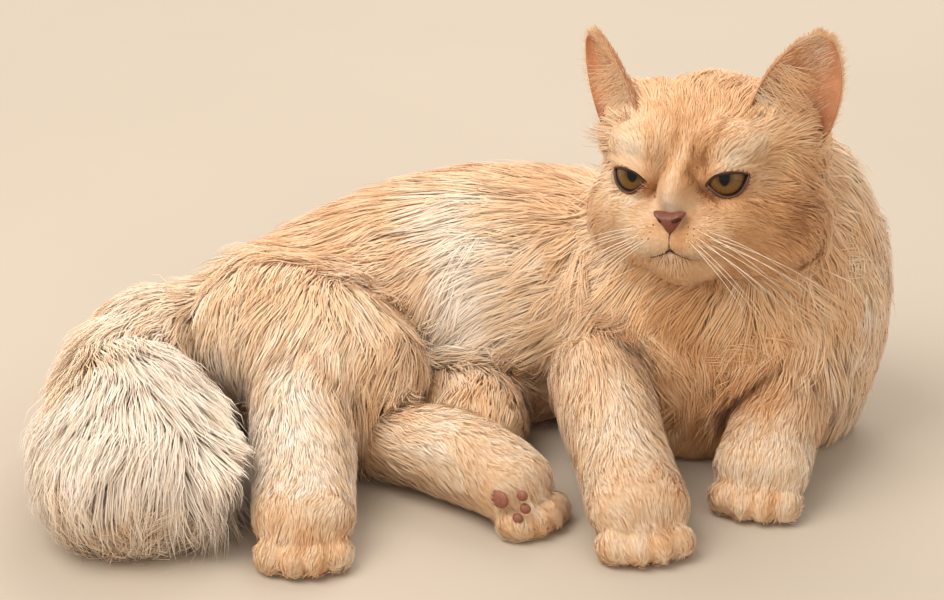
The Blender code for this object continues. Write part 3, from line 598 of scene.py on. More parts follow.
    def skin(self, name: str, segments: int = 176, rings: int = 150) -> bpy.types.Object:
        """The head's closed skin, with open eyes and the creases of the face."""
        polars = math.pi * (np.arange(1, rings) / rings) ** 1.35
        turns = 2 * math.pi * (np.arange(segments) + 0.5) / segments
        polar, turn = np.meshgrid(polars, turns, indexing="ij")
        directions = np.stack([np.sin(polar) * np.cos(turn), np.cos(polar), np.sin(polar) * np.sin(turn)], axis=-1)
        directions = np.vstack([directions.reshape(-1, 3), [(0, 1, 0), (0, -1, 0)]])
        points = directions * self.radius(directions)[:, None]
        points = points - directions * self.creases(points)[:, None]
        head = face_out(new_object(name, self.to_world(points), tube_faces(rings - 1, segments)))
        for side in (1, -1):
            cut(head, self.opening(side), "DIFFERENCE", "EXACT")
            bpy.ops.mesh.primitive_uv_sphere_add(
                segments=64, ring_count=40, radius=self.eye_radius + 0.0001, location=self.to_world(self.eye(side))[0]
            )
            socket = bpy.context.object
            only(socket)
            bpy.ops.object.transform_apply(location=True, rotation=False, scale=False)
            cut(head, socket, "DIFFERENCE", "EXACT")
        return head

    def lid_line(self, side: int, steps: int) -> list[tuple[float, float]]:
        """The outline of the open eye, across and above its middle."""
        line = []
        for i in range(steps):
            x = -1 + 2 * i / steps
            line.append((x * self.eye_width / 2, -self.eye_lower * (1 - abs(x) ** 2.2)))
        for i in range(steps):
            x = 1 - 2 * i / steps
            line.append((x * self.eye_width / 2, self.eye_upper * (1 - abs(x) ** 2.6) * (1 - 0.30 * x)))
        return line

    def opening(self, side: int) -> bpy.types.Object:
        """A prism with the outline of the open eye, which cuts the lids apart."""
        across, outward, above = self.eye_axes(side)
        line = self.lid_line(side, 20)
        ends = [self.eye(side) + outward * self.eye_radius * depth for depth in (0.3, 2.2)]
        points = [end + across * x + above * z for end in ends for x, z in line]
        return face_out(new_object("opening", self.to_world(np.array(points + ends)), tube_faces(2, len(line))))


HEAD = HeadForm()


@dataclass(frozen=True)
class Patch:
    """A soft-edged place of the coat with its own tone, in some patches painted shade: 0 is cream white, 1 dark ginger.
    """

    place: tuple[float, float, float]
    reach: tuple[float, float, float]
    tone: float
    strength: float = 1.0
    on_head: bool = False


@dataclass
class MarkingsAndShade:
    """The tones of the coat, the same for skin and hair; some patches and the toe grooves are painted shade."""

    base: float = 0.34
    patches: tuple[Patch, ...] = (
        Patch((0.030, 0.090, 0.110), (0.070, 0.045, 0.050), 0.52, 0.8),
        Patch((-0.045, 0.090, 0.100), (0.060, 0.050, 0.040), 0.50, 0.8),
        Patch((-0.090, 0.040, 0.095), (0.045, 0.040, 0.030), 0.36, 0.7),
        Patch((0.012, 0.022, 0.084), (0.024, 0.036, 0.038), -0.30),
        Patch((0.006, 0.050, 0.108), (0.026, 0.030, 0.024), 0.02, 0.9),
        Patch((0.040, 0.010, 0.034), (0.020, 0.030, 0.026), 0.52, 0.8),
        Patch((-0.067, -0.012, 0.070), (0.045, 0.030, 0.030), 0.22, 0.8),
        Patch((-0.035, -0.020, 0.050), (0.020, 0.020, 0.020), 0.42, 0.7),
        Patch((-0.077, -0.080, 0.035), (0.030, 0.045, 0.035), 0.14, 0.9),
        # Painted shade: the underside of the right hind paw darkened towards ginger.
        Patch((-0.077, -0.108, 0.016), (0.026, 0.024, 0.014), 0.60, 0.8),
        Patch((-0.020, -0.050, 0.030), (0.030, 0.025, 0.020), 0.16, 0.9),
        Patch((0.020, -0.085, 0.020), (0.020, 0.020, 0.020), 0.34, 0.8),
        # Painted shade: the chest darkened under the chin and down between the forelegs to the floor.
        Patch((0.115, -0.020, 0.060), (0.036, 0.030, 0.040), 0.74, 0.95),
        Patch((0.117, -0.010, 0.015), (0.030, 0.025, 0.025), 0.66, 0.7),
        Patch((0.150, -0.020, 0.075), (0.020, 0.020, 0.030), 0.60, 0.7),
        Patch((0.192, 0.010, 0.080), (0.024, 0.045, 0.055), 0.20, 0.9),
        Patch((0.056, 0.008, 0.080), (0.018, 0.030, 0.035), 0.16, 0.9),
        Patch((0.065, -0.070, 0.035), (0.025, 0.045, 0.035), 0.18, 0.9),
        Patch((0.072, -0.100, 0.030), (0.022, 0.018, 0.012), 0.40, 0.6),
        Patch((0.135, -0.060, 0.025), (0.028, 0.030, 0.025), 0.20, 0.9),
        Patch((-0.140, 0.030, 0.080), (0.040, 0.050, 0.040), 0.16, 0.9),
        Patch((-0.190, -0.015, 0.060), (0.016, 0.045, 0.035), 0.34, 0.7),
        Patch((-0.140, -0.070, 0.060), (0.052, 0.068, 0.044), -0.35),
        Patch((-0.150, -0.140, 0.008), (0.050, 0.030, 0.014), 0.42, 0.7),
        Patch((0.000, 0.020, 0.040), (0.036, 0.032, 0.024), 0.74, 0.85, True),
        Patch((0.036, 0.010, 0.020), (0.018, 0.026, 0.020), 0.58, 0.7, True),
        Patch((-0.036, 0.010, 0.020), (0.018, 0.026, 0.020), 0.42, 0.7, True),
        # Painted shade: the cat's left cheek, turned away from the light, darkened towards ginger.
        Patch((0.040, 0.024, -0.010), (0.024, 0.030, 0.020), 0.95, 0.9, True),
        Patch((-0.042, 0.026, -0.010), (0.014, 0.024, 0.022), 0.46, 0.8, True),
        Patch((0.024, 0.040, 0.018), (0.011, 0.014, 0.005), 0.24, 0.8, True),
        Patch((-0.024, 0.040, 0.018), (0.011, 0.014, 0.005), 0.24, 0.8, True),
        # Painted shade: dark lines along the brow furrows and the creases by the inner eye corners.
        Patch((0.0075, 0.044, 0.014), (0.0045, 0.014, 0.012), 1.00, 0.85, True),
        Patch((-0.0075, 0.044, 0.010), (0.0045, 0.014, 0.010), 0.92, 0.8, True),
        Patch((0.0125, 0.043, 0.001), (0.0030, 0.010, 0.0045), 1.20, 0.9, True),
        Patch((-0.0125, 0.043, 0.001), (0.0030, 0.010, 0.0045), 1.10, 0.85, True),
        Patch((0.0135, 0.043, 0.016), (0.0022, 0.016, 0.0075), 1.15, 0.9, True),
        Patch((0.0160, 0.040, 0.027), (0.0022, 0.018, 0.0075), 1.00, 0.8, True),
        Patch((-0.0135, 0.043, 0.022), (0.0022, 0.016, 0.0120), 0.90, 0.7, True),
        Patch((-0.0030, 0.044, 0.021), (0.0020, 0.016, 0.0120), 0.85, 0.7, True),
        Patch((-0.001, 0.052, -0.003), (0.0075, 0.012, 0.0050), 0.10, 0.9, True),
        # Painted shade: the muzzle darkened towards ginger for the shade on the lower face, most on the cat's left.
        Patch((0.018, 0.046, -0.006), (0.009, 0.014, 0.007), 0.55, 0.6, True),
        Patch((0.011, 0.050, -0.017), (0.011, 0.014, 0.008), 0.58, 0.9, True),
        Patch((-0.011, 0.050, -0.017), (0.011, 0.014, 0.008), 0.48, 0.9, True),
        Patch((0.000, 0.046, -0.033), (0.014, 0.016, 0.009), 0.50, 0.8, True),
        # Painted shade under the chin.
        Patch((0.000, 0.030, -0.046), (0.030, 0.026, 0.012), 0.80, 0.7, True),
        # Painted shade: the cat's left jaw, turned away from the light.
        Patch((0.030, 0.030, -0.030), (0.016, 0.022, 0.016), 0.66, 0.6, True),
    )

    def tone(self, points: np.ndarray) -> np.ndarray:
        """The tone of the coat at some places, painted shade included.

        Args:
            points: Rows of places in the world.

        Returns:
            A number from 0, cream white, to 1, dark ginger, for each.
        """
        local = HEAD.to_local(points)
        value = np.full(len(points), self.base)
        for patch in self.patches:
            gap = ((local if patch.on_head else points) - np.array(patch.place)) / np.array(patch.reach)
            weight = patch.strength * np.exp(-1.1 * (gap**2).sum(axis=1))
            value = value * (1 - weight) + patch.tone * weight
        # Painted shade: the grooves between the toes are darkened towards ginger.
        for form in BODY.values():
            if form.toe:
                value += (0.70 - value) * 0.45 * form.crease(points)
        value += 0.055 * ripple(points * (1.0, 0.5, 0.5), 0.034, 3) + 0.085 * ripple(points * (1.0, 0.8, 0.45), 0.010, 4)
        return np.clip(value, 0, 1)


@dataclass
class Skin:
    """One closed skin under the whole coat."""

    voxel: float = 0.0016
    smoothing: int = 5

    def build(self, markings_and_shade: MarkingsAndShade) -> bpy.types.Object:
        """Joins the body's forms and the head into one skin with the coat's tones."""
        parts = []
        for region, form in BODY.items():
            parts.append(form.skin(region.value))
            if form.toe:
                parts += form.toes(region.value)
        skin = join(parts[0], parts[1:])
        remesh = skin.modifiers.new("one skin", "REMESH")
        remesh.mode = "VOXEL"
        remesh.voxel_size = self.voxel
        smooth = skin.modifiers.new("soft joins", "SMOOTH")
        smooth.factor = 0.5
        smooth.iterations = self.smoothing
        apply_all(skin)
        cut(skin, HEAD.skin("head"), "UNION", "MANIFOLD")
        skin.name = skin.data.name = "skin"
        skin.data.shade_smooth()
        points = points_of(skin)
        points[:, 2] = np.maximum(points[:, 2], FLOOR + 0.0008)
        set_points(skin, points)
        set_value(skin, "tone", markings_and_shade.tone(points))
        set_value(skin, "bare", self.bare(points))
        return skin

    def bare(self, points: np.ndarray) -> np.ndarray:
        """Where the skin shows through thin hair: lips, chin and round the eyes."""
        local = HEAD.to_local(points)
        lip = np.exp(-(((local - (0.0, 0.046, -0.0285)) / (0.013, 0.016, 0.0034)) ** 2).sum(axis=1))
        bare = 0.80 * lip
        for side in (1, -1):
            across, outward, above = HEAD.eye_axes(side)
            gap = local - HEAD.eye(side)
            x, z, out = gap @ across, gap @ above, gap @ outward
            ring = ((x / (HEAD.eye_width * 0.56)) ** 2 + ((z + 0.0018) / 0.0068) ** 2) < 1
            bare = np.where(ring & (out > 0), 1.0, bare)
        return bare


@dataclass
class Ground:
    """The skin's triangles, their normals and which form each belongs to, for rooting hair."""

    skin: bpy.types.Object

    def __post_init__(self) -> None:
        """Reads the triangles and sorts them by form."""
        mesh = self.skin.data
        mesh.calc_loop_triangles()
        corners = np.empty(len(mesh.loop_triangles) * 3, np.int32)
        mesh.loop_triangles.foreach_get("vertices", corners)
        self.corners = corners.reshape(-1, 3)
        self.points = points_of(self.skin)
        normals = np.empty(len(mesh.vertices) * 3, np.float32)
        mesh.vertices.foreach_get("normal", normals)
        self.normals = normals.reshape(-1, 3).astype(float)
        a, b, c = (self.points[self.corners[:, k]] for k in range(3))
        self.areas = np.linalg.norm(np.cross(b - a, c - a), axis=1) / 2
        self.centres = (a + b + c) / 3
        self.tree = BVHTree.FromPolygons(self.points.tolist(), self.corners.tolist())
        local = HEAD.to_local(self.centres)
        values = [HEAD.field(local, -HEAD.inset(unit(local)))]
        self.forms = [Region.HEAD, *BODY]
        for region in BODY:
            values.append(BODY[region].nearest(self.centres)["value"])
        self.form = np.argmin(np.abs(np.array(values)), axis=0)

    def mask(self, regions: tuple[Region, ...]) -> np.ndarray:
        """Which triangles belong to some forms, none of them facing the floor."""
        wanted = [self.forms.index(region) for region in regions]
        facing = np.cross(
            self.points[self.corners[:, 1]] - self.points[self.corners[:, 0]],
            self.points[self.corners[:, 2]] - self.points[self.corners[:, 0]],
        )
        down = (unit(facing)[:, 2] < -0.9) & (self.centres[:, 2] < 0.004)
        return np.isin(self.form, wanted) & ~down

    def sample(self, draw: np.random.Generator, weight: np.ndarray, count: int) -> tuple[np.ndarray, np.ndarray]:
        """Roots spread over the skin.

        Args:
            draw: The random draw.
            weight: How dense the hair is on each triangle, 0 for none.
            count: How many roots.

        Returns:
            The roots and the normals there.
        """
        share = self.areas * weight
        total = np.cumsum(share)
        steps = (np.arange(count) + draw.uniform(0, 1, count)) / count * total[-1]
        chosen = np.minimum(np.searchsorted(total, steps), len(share) - 1)
        a, b = draw.uniform(0, 1, (2, count))
        flip = a + b > 1
        a, b = np.where(flip, 1 - a, a), np.where(flip, 1 - b, b)
        mix = np.stack([1 - a - b, a, b], axis=1)[..., None]
        corners = self.corners[chosen]
        return (self.points[corners] * mix).sum(axis=1), unit((self.normals[corners] * mix).sum(axis=1))


@dataclass(frozen=True)
class Hair:
    """How the hair of a form lies, with two values where it changes along the form.

    Flow is 1 along the form and -1 back along it, fall how much it hangs, and raise how
    steeply it leaves the skin. Lift is the height of the tips over the skin, and hug how
    closely the hair is kept to it. Clump is how far tufts gather into locks.
    """

    length: tuple[float, float]
    width: tuple[float, float]
    lift: tuple[float, float]
    flow: float = 1.0
    fall: float = 0.4
    raise_by: float = 0.35
    hug: float = 0.6
    wave: float = 0.35
    clump: float = 0.45


STYLES: dict[Region, Hair] = {
    Region.FRONT: Hair((0.036, 0.036), (0.00065, 0.00065), (0.0095, 0.0090), -1.0, 0.35, 0.32, 0.65, 0.72, 0.70),
    Region.TRUNK: Hair((0.036, 0.040), (0.00065, 0.00065), (0.0090, 0.0100), 1.0, 0.50, 0.26, 0.75, 0.40, 0.50),
    Region.TAIL: Hair((0.034, 0.048), (0.00060, 0.00060), (0.0060, 0.0185), 1.0, 0.25, 0.35, 0.45, 0.35, 0.50),
    Region.FORELEG_RIGHT: Hair((0.021, 0.0075), (0.0005, 0.0003), (0.0048, 0.0018), 1.0, 0.25, 0.26, 0.7, 0.35, 0.42),
    Region.FORELEG_LEFT: Hair((0.020, 0.0075), (0.0005, 0.0003), (0.0048, 0.0018), 1.0, 0.25, 0.26, 0.7, 0.35, 0.42),
    Region.THIGH_RIGHT: Hair((0.034, 0.034), (0.00065, 0.0006), (0.0078, 0.0072), 1.0, 0.45, 0.26, 0.7, 0.40, 0.50),
    Region.HIND_RIGHT: Hair((0.025, 0.0080), (0.0006, 0.0003), (0.0053, 0.0018), 1.0, 0.25, 0.26, 0.7, 0.35, 0.42),
    Region.THIGH_LEFT: Hair((0.022, 0.020), (0.0006, 0.0006), (0.0052, 0.0044), 1.0, 0.30, 0.26, 0.7, 0.40, 0.45),
    Region.HIND_LEFT: Hair((0.018, 0.0080), (0.0005, 0.0003), (0.0046, 0.0018), 1.0, 0.25, 0.26, 0.7, 0.35, 0.42),
}


@dataclass
class Roots:
    """Hair roots with everything that shapes each tuft, in arrays of one row a tuft."""

    places: np.ndarray
    normals: np.ndarray
    flow: np.ndarray
    length: np.ndarray
    width: np.ndarray
    lift: np.ndarray
    hug: np.ndarray
    steep: np.ndarray
    clump: np.ndarray
    wave: np.ndarray
    chart: np.ndarray


class Groom:
    """Lays the coat: which way the hair lies and how long it is at each place."""

    def body(self, regions: tuple[Region, ...], places: np.ndarray, normals: np.ndarray) -> Roots:
        """The hair of swept forms.

        Args:
            regions: The forms that the roots lie on.
            places: The roots.
            normals: The skin's normals there.

        Returns:
            The roots with their lie and size.
        """
        near = [BODY[region].nearest(places) for region in regions]
        pick = np.argmin(np.abs(np.array([n["value"] for n in near])), axis=0)
        rows = np.arange(len(places))
        take = lambda key: np.stack([n[key] for n in near])[pick, rows]
        share = np.clip(take("length") / np.array([BODY[r].length for r in regions])[pick], 0, 1)
        both = lambda key: np.array([getattr(STYLES[r], key) for r in regions])[pick]
        blend = lambda key: both(key)[:, 0] * (1 - share) + both(key)[:, 1] * share
        down = np.array([0.0, 0.0, -1.0])
        flow = take("tangent") * both("flow")[:, None] + down * both("fall")[:, None]
        length, lift, width = blend("length"), blend("lift"), blend("width")
        if Region.FRONT in regions:
            flow, length, lift = self.front(places, normals, flow, length, lift)
        if Region.TAIL in regions:
            centre = np.array([-0.150, -0.052, 0.070])
            flow = flow + unit(places - centre) * ease(share, 0.55, 0.95)[:, None] * 0.9
            flow = flow - np.array([0.0, 0.0, 0.5]) * ease(share, 0.4, 0.8)[:, None]
            low_tips = ease(-places[:, 2], -0.040, -0.010) * ease(share, 0.3, 0.7)
            flow = flow + normals * (1.7 * low_tips)[:, None]
        if Region.THIGH_RIGHT in regions:
            flow = np.where((pick == 0)[:, None], np.array([-0.30, -0.55, -0.80]), flow)
        for region in regions:
            if BODY[region].toe:
                groove = BODY[region].crease(places)
                length = length * (1 - 0.35 * groove)
                lift = lift * (1 - 0.6 * groove)
        low = ease(places[:, 2], 0.0, 0.02)
        flow = flow - down * (1 - low)[:, None] * 0.6
        chart = np.stack([take("angle") / (2 * math.pi) + 0.5, share], axis=1)
        chart[:, 0] = (chart[:, 0] + pick) / len(regions)
        flow = self.swirl(flatten(flow, normals), normals, places, both("wave"))
        return Roots(
            places, normals, flow, length, width, lift,
            both("hug"), both("raise_by"), both("clump"), both("wave"), chart,
        )

    def front(
        self, places: np.ndarray, normals: np.ndarray, flow: np.ndarray, length: np.ndarray, lift: np.ndarray
    ) -> tuple[np.ndarray, np.ndarray, np.ndarray]:
        """The ruff, which fans out from the head, and the bib, which gathers to a point."""
        ruff = ease(places[:, 2], 0.060, 0.105)[:, None]
        fan = unit(places - np.array([0.112, 0.020, 0.140]))
        flow = flow + fan * ruff * 1.1
        bib = ease(-places[:, 1], -0.020, 0.010)[:, None]
        middle = np.stack([0.118 - places[:, 0], np.zeros(len(places)), np.zeros(len(places))], axis=1)
        flow = flow + middle * bib * (1 - ruff) * 16.0
        length = length * (1 + 0.20 * ruff[:, 0]) * (1 - 0.25 * ease(-places[:, 2], -0.035, 0.0))
        return flow, length, lift * (1 - 0.35 * ease(-places[:, 2], -0.03, 0.0))

    def head(self, places: np.ndarray, normals: np.ndarray) -> Roots:
        """The hair of the head, shortest by the nose and longest behind the cheeks."""
        local = HEAD.to_local(places)
        nose = np.array(HEAD.nose_place)
        gap = local - nose
        reach = np.linalg.norm(gap, axis=1)
        steps = [0.006, 0.014, 0.030, 0.050, 0.075, 0.10]
        length = np.interp(reach, steps, [0.0016, 0.0034, 0.0085, 0.0180, 0.0310, 0.034])
        lift = np.interp(reach, steps, [0.0003, 0.0006, 0.0013, 0.0042, 0.0082, 0.010])
        width = np.interp(reach, steps, [0.00018, 0.00024, 0.00032, 0.00045, 0.00062, 0.0007])
        crown = ease(local[:, 2], 0.018, 0.034)
        length = length * (1 - 0.35 * crown)
        lift = lift * (1 - 0.30 * crown)
        low = ease(-local[:, 2], 0.018, 0.040) * ease(reach, 0.034, 0.055)
        length = length * (1 + 0.5 * low)
        flow = unit(gap)
        for side in (1, -1):
            away = local - HEAD.eye(side)
            distance = np.linalg.norm(away, axis=1)
            push = ease(-distance, -0.021, -0.0125)[:, None]
            flow = flow * (1 - 0.55 * push) + unit(away) * push * 0.9
            length = length * (1 - 0.35 * push[:, 0])
        world = flow @ HEAD.axes
        world = world + np.array([0.0, 0.0, -1.0]) * (ease(reach, 0.035, 0.065) * (1 - crown) * 0.75)[:, None]
        world = world + np.array([0.0, 0.0, -1.0]) * (low * 0.6)[:, None]
        polar = np.arccos(np.clip(unit(local)[:, 1], -1, 1)) / math.pi
        turn = np.arctan2(local[:, 2], local[:, 0]) / (2 * math.pi) + 0.5
        ones = np.ones(len(places))
        wave = np.interp(reach, [0.01, 0.03, 0.07], [0.10, 0.22, 0.42])
        flow = self.swirl(flatten(world, normals), normals, places, wave, 0.5)
        clump = np.interp(reach, [0.01, 0.03, 0.07], [0.05, 0.20, 0.50])
        chart = np.stack([turn, polar], axis=1)
        return Roots(places, normals, flow, length, width, lift, ones * 0.75, ones * 0.30, clump, wave, chart)

    def swirl(
        self, flow: np.ndarray, normals: np.ndarray, places: np.ndarray, wave: np.ndarray, size: float = 1.0
    ) -> np.ndarray:
        """Turns the lie of the hair a little, in drifts a few locks wide."""
        turn = wave * (0.75 * ripple(places, 0.042 * size, 21) + 0.45 * ripple(places, 0.015 * size, 22))
        side = np.cross(normals, flow)
        return unit(flow * np.cos(turn)[:, None] + side * np.sin(turn)[:, None])


GUIDE_STEPS = np.linspace(0, 1, 7)


class Coat:
    """Grows guide locks over the skin and fills tufts in between them."""

    def __init__(self, ground: Ground, markings_and_shade: MarkingsAndShade) -> None:
        """Keeps what hair is rooted in.

        Args:
            ground: The skin's triangles.
            markings_and_shade: The coat's tones.
        """
        self.ground = ground
        self.markings_and_shade = markings_and_shade

    def guides(self, roots: Roots, draw: np.random.Generator) -> tuple[np.ndarray, np.ndarray]:
        """Paths of the guide locks, held over the skin at their height.

        Args:
            roots: The guides' roots.
            draw: The random draw.

        Returns:
            Places and the skin's normals under them, guide by guide and step by step.
        """
        count = len(roots.places)
        step = (roots.length / (len(GUIDE_STEPS) - 1))[:, None]
        raised = np.sin(roots.steep * 1.35)[:, None]
        heading = unit(roots.flow + roots.normals * raised)
        place = roots.places - roots.normals * 0.0006
        paths = [place]
        facings = [roots.normals]
        phase = draw.uniform(0, 2 * math.pi, count)
        for k in range(1, len(GUIDE_STEPS)):
            s = GUIDE_STEPS[k]
            trial = place + heading * step
            surface = np.empty((count, 3))
            normal = np.empty((count, 3))
            for i, point in enumerate(trial):
                hit, facing, _, _ = self.ground.tree.find_nearest(point)
                surface[i] = hit
                normal[i] = facing
            height = np.sum((trial - surface) * normal, axis=1)
            want = roots.lift * (1 - (1 - s) ** 1.6)
            wrong = want - height
            fixed = trial + normal * np.where(wrong > 0, wrong, wrong * roots.hug)[:, None]
            fixed[:, 2] = np.maximum(fixed[:, 2], FLOOR + 0.0006)
            moved = unit(fixed - place)
            place = place + moved * step
            curl = np.cross(moved, normal) * (roots.wave * 0.45 * np.cos(phase + s * 6.0))[:, None]
            heading = unit(moved + curl + np.array([0.0, 0.0, -0.05]))
            paths.append(place)
            facings.append(normal.copy())
        return np.stack(paths, axis=1), np.stack(facings, axis=1)

    def fill(
        self, roots: Roots, lead: Roots, paths: np.ndarray, facings: np.ndarray, draw: np.random.Generator
    ) -> tuple[np.ndarray, np.ndarray]:
        """Paths of the tufts, each drawn between its three nearest guides.

        Args:
            roots: The tufts' roots.
            lead: The guides' roots.
            paths: The guides' paths.
            facings: The skin's normals under the guides.
            draw: The random draw.

        Returns:
            Places and the normals of the skin under them, tuft by tuft and step by step.
        """
        tree = KDTree(len(lead.places))
        for i, place in enumerate(lead.places):
            tree.insert(place, i)
        tree.balance()
        found = np.array([[(i, d) for _, i, d in tree.find_n(place, 3)] for place in roots.places])
        index = found[..., 0].astype(int)
        pull = 1 / (found[..., 1] + 0.0008)
        agree = np.sum(roots.normals[:, None] * lead.normals[index], axis=2)
        pull = pull * np.clip(agree, 0.02, 1) ** 2
        pull = pull / pull.sum(axis=1, keepdims=True)
        lead_axes = np.stack([lead.flow, np.cross(lead.normals, lead.flow), lead.normals], axis=1)
        offsets = np.einsum("gsk,gak->gsa", paths - paths[:, :1], lead_axes)
        offsets = offsets / lead.length[:, None, None]
        turn = draw.normal(0, 0.09, len(roots.places))[:, None]
        side = np.cross(roots.normals, roots.flow)
        flow = roots.flow * np.cos(turn) + side * np.sin(turn)
        axes = np.stack([flow, np.cross(roots.normals, flow), roots.normals], axis=1)
        mixed = (offsets[index] * pull[..., None, None]).sum(axis=1) * roots.length[:, None, None]
        mixed[..., 2] *= draw.uniform(0.55, 1.15, len(roots.places))[:, None]
        free = roots.places[:, None] + np.einsum("nsa,nak->nsk", mixed, axes)
        nearest = index[np.arange(len(index)), np.argmax(pull, axis=1)]
        stray = draw.uniform(0, 1, len(roots.places)) < 0.05
        gather = roots.clump * np.where(stray, 0.0, draw.uniform(0.75, 1.0, len(roots.places)))
        share = gather[:, None, None] * (GUIDE_STEPS**1.4)[None, :, None]
        led = paths[nearest]
        full = free * (1 - share) + led * share
        full[..., 2] = np.maximum(full[..., 2], FLOOR + 0.0004)
        return full, unit((facings[index] * pull[..., None, None]).sum(axis=1))

    def grow(
        self, name: str, roots: Roots, rings: tuple[float, ...], draw: np.random.Generator, locks: int
    ) -> bpy.types.Object:
        """One coat piece: tufts as thin, ridged blades that taper to a point.

        Args:
            name: The piece's name.
            roots: The tufts' roots.
            rings: Shares of the length where a blade has a ring, before its tip.
            draw: The random draw.
            locks: How many guide locks lead the tufts.

        Returns:
            The new piece.
        """
        chosen = draw.choice(len(roots.places), min(locks, len(roots.places)), replace=False)
        lead = Roots(*(getattr(roots, key)[chosen] for key in Roots.__dataclass_fields__))
        lead.length = lead.length * draw.uniform(0.92, 1.12, len(chosen))
        paths, facings = self.guides(lead, draw)
        roots.length = roots.length * draw.uniform(0.72, 1.12, len(roots.places))
        full, facings = self.fill(roots, lead, paths, facings, draw)
        return self.blades(name, roots, full, facings, rings, draw)

    def blades(
        self,
        name: str,
        roots: Roots,
        full: np.ndarray,
        facings: np.ndarray,
        rings: tuple[float, ...],
        draw: np.random.Generator,
    ) -> bpy.types.Object:
        """Turns paths into joined blades with soft normals, their tones and a bake map.

        Args:
            name: The piece's name.
            roots: The tufts' roots.
            full: The tufts' paths.
            facings: The skin's normals under the paths.
            rings: Shares of the length where a blade has its three points, before its tip.
            draw: The random draw.

        Returns:
            The new piece.
        """
        count = len(full)
        spots = np.array([*rings, 1.0])
        place = np.clip(spots * (len(GUIDE_STEPS) - 1), 0, len(GUIDE_STEPS) - 1.001)
        low = place.astype(int)
        mix = (place - low)[None, :, None]
        path = full[:, low] * (1 - mix) + full[:, low + 1] * mix
        facing = unit(facings[:, low] * (1 - mix) + facings[:, low + 1] * mix)
        tangents = unit(np.gradient(path, axis=1))
        side = unit(np.cross(tangents, facing))
        above = np.cross(side, tangents)
        roll = draw.uniform(-0.5, 0.5, count)[:, None, None]
        side, above = side * np.cos(roll) + above * np.sin(roll), above * np.cos(roll) - side * np.sin(roll)
        profile = np.interp(rings, [0, 0.35, 0.75, 1.0], [0.75, 1.0, 0.72, 0.25])
        half = ((roots.width * draw.uniform(0.7, 1.25, count) / 2)[:, None] * profile)[..., None]
        inner, side, above = path[:, :-1], side[:, :-1], above[:, :-1]
        ridge = np.stack([inner + side * half, inner + above * half * 0.6, inner - side * half], axis=2)
        points = np.concatenate([ridge.reshape(count, -1, 3), path[:, -1:]], axis=1)
        soft = facing[:, :-1] * SOFT
        lit = np.stack([soft + side * 0.30 + above * 0.30, soft + above * 0.45, soft - side * 0.30 + above * 0.30], axis=2)
        lit = np.concatenate([unit(lit).reshape(count, -1, 3), facing[:, -1:]], axis=1)
        size = points.shape[1]
        points = points.reshape(-1, 3)
        points[:, 2] = np.maximum(points[:, 2], FLOOR + 0.0002)
        faces = []
        for k in range(len(rings) - 1):
            for a in (0, 1):
                p = k * 3 + a
                faces += [(p, p + 3, p + 4), (p, p + 4, p + 1)]
        last = (len(rings) - 1) * 3
        faces += [(last, size - 1, last + 1), (last + 1, size - 1, last + 2)]
        faces = (np.arange(count)[:, None, None] * size + np.array(faces)[None]).reshape(-1, 3)
        coat = new_object(name, points, faces)
        coat.data.shade_smooth()
        along = np.append(np.repeat(rings, 3), 1.0)
        across = np.append(np.tile([1.0, 0.5, 0.0], len(rings)), 0.5)
        tone = self.markings_and_shade.tone(roots.places)
        set_value(coat, "tone", np.repeat(tone, size))
        set_value(coat, "along", np.tile(along, count))
        set_value(coat, "shade", np.repeat(draw.uniform(0, 1, count), size))
        chart = np.clip(roots.chart, 0.002, 0.998) * (1 - PATCH)
        spread = np.stack([across, along], axis=1) * PATCH
        where = (chart[:, None] + spread[None]).reshape(-1, 2)
        layer = coat.data.uv_layers.new(name=MAP_NAME)
        layer.data.foreach_set("uv", where[faces.ravel()].astype(np.float32).ravel())
        coat.data.normals_split_custom_set_from_vertices(lit.reshape(-1, 3))
        return coat


LONG_RINGS = (0.0, 0.42, 0.78)
SHORT_RINGS = (0.0, 0.55)


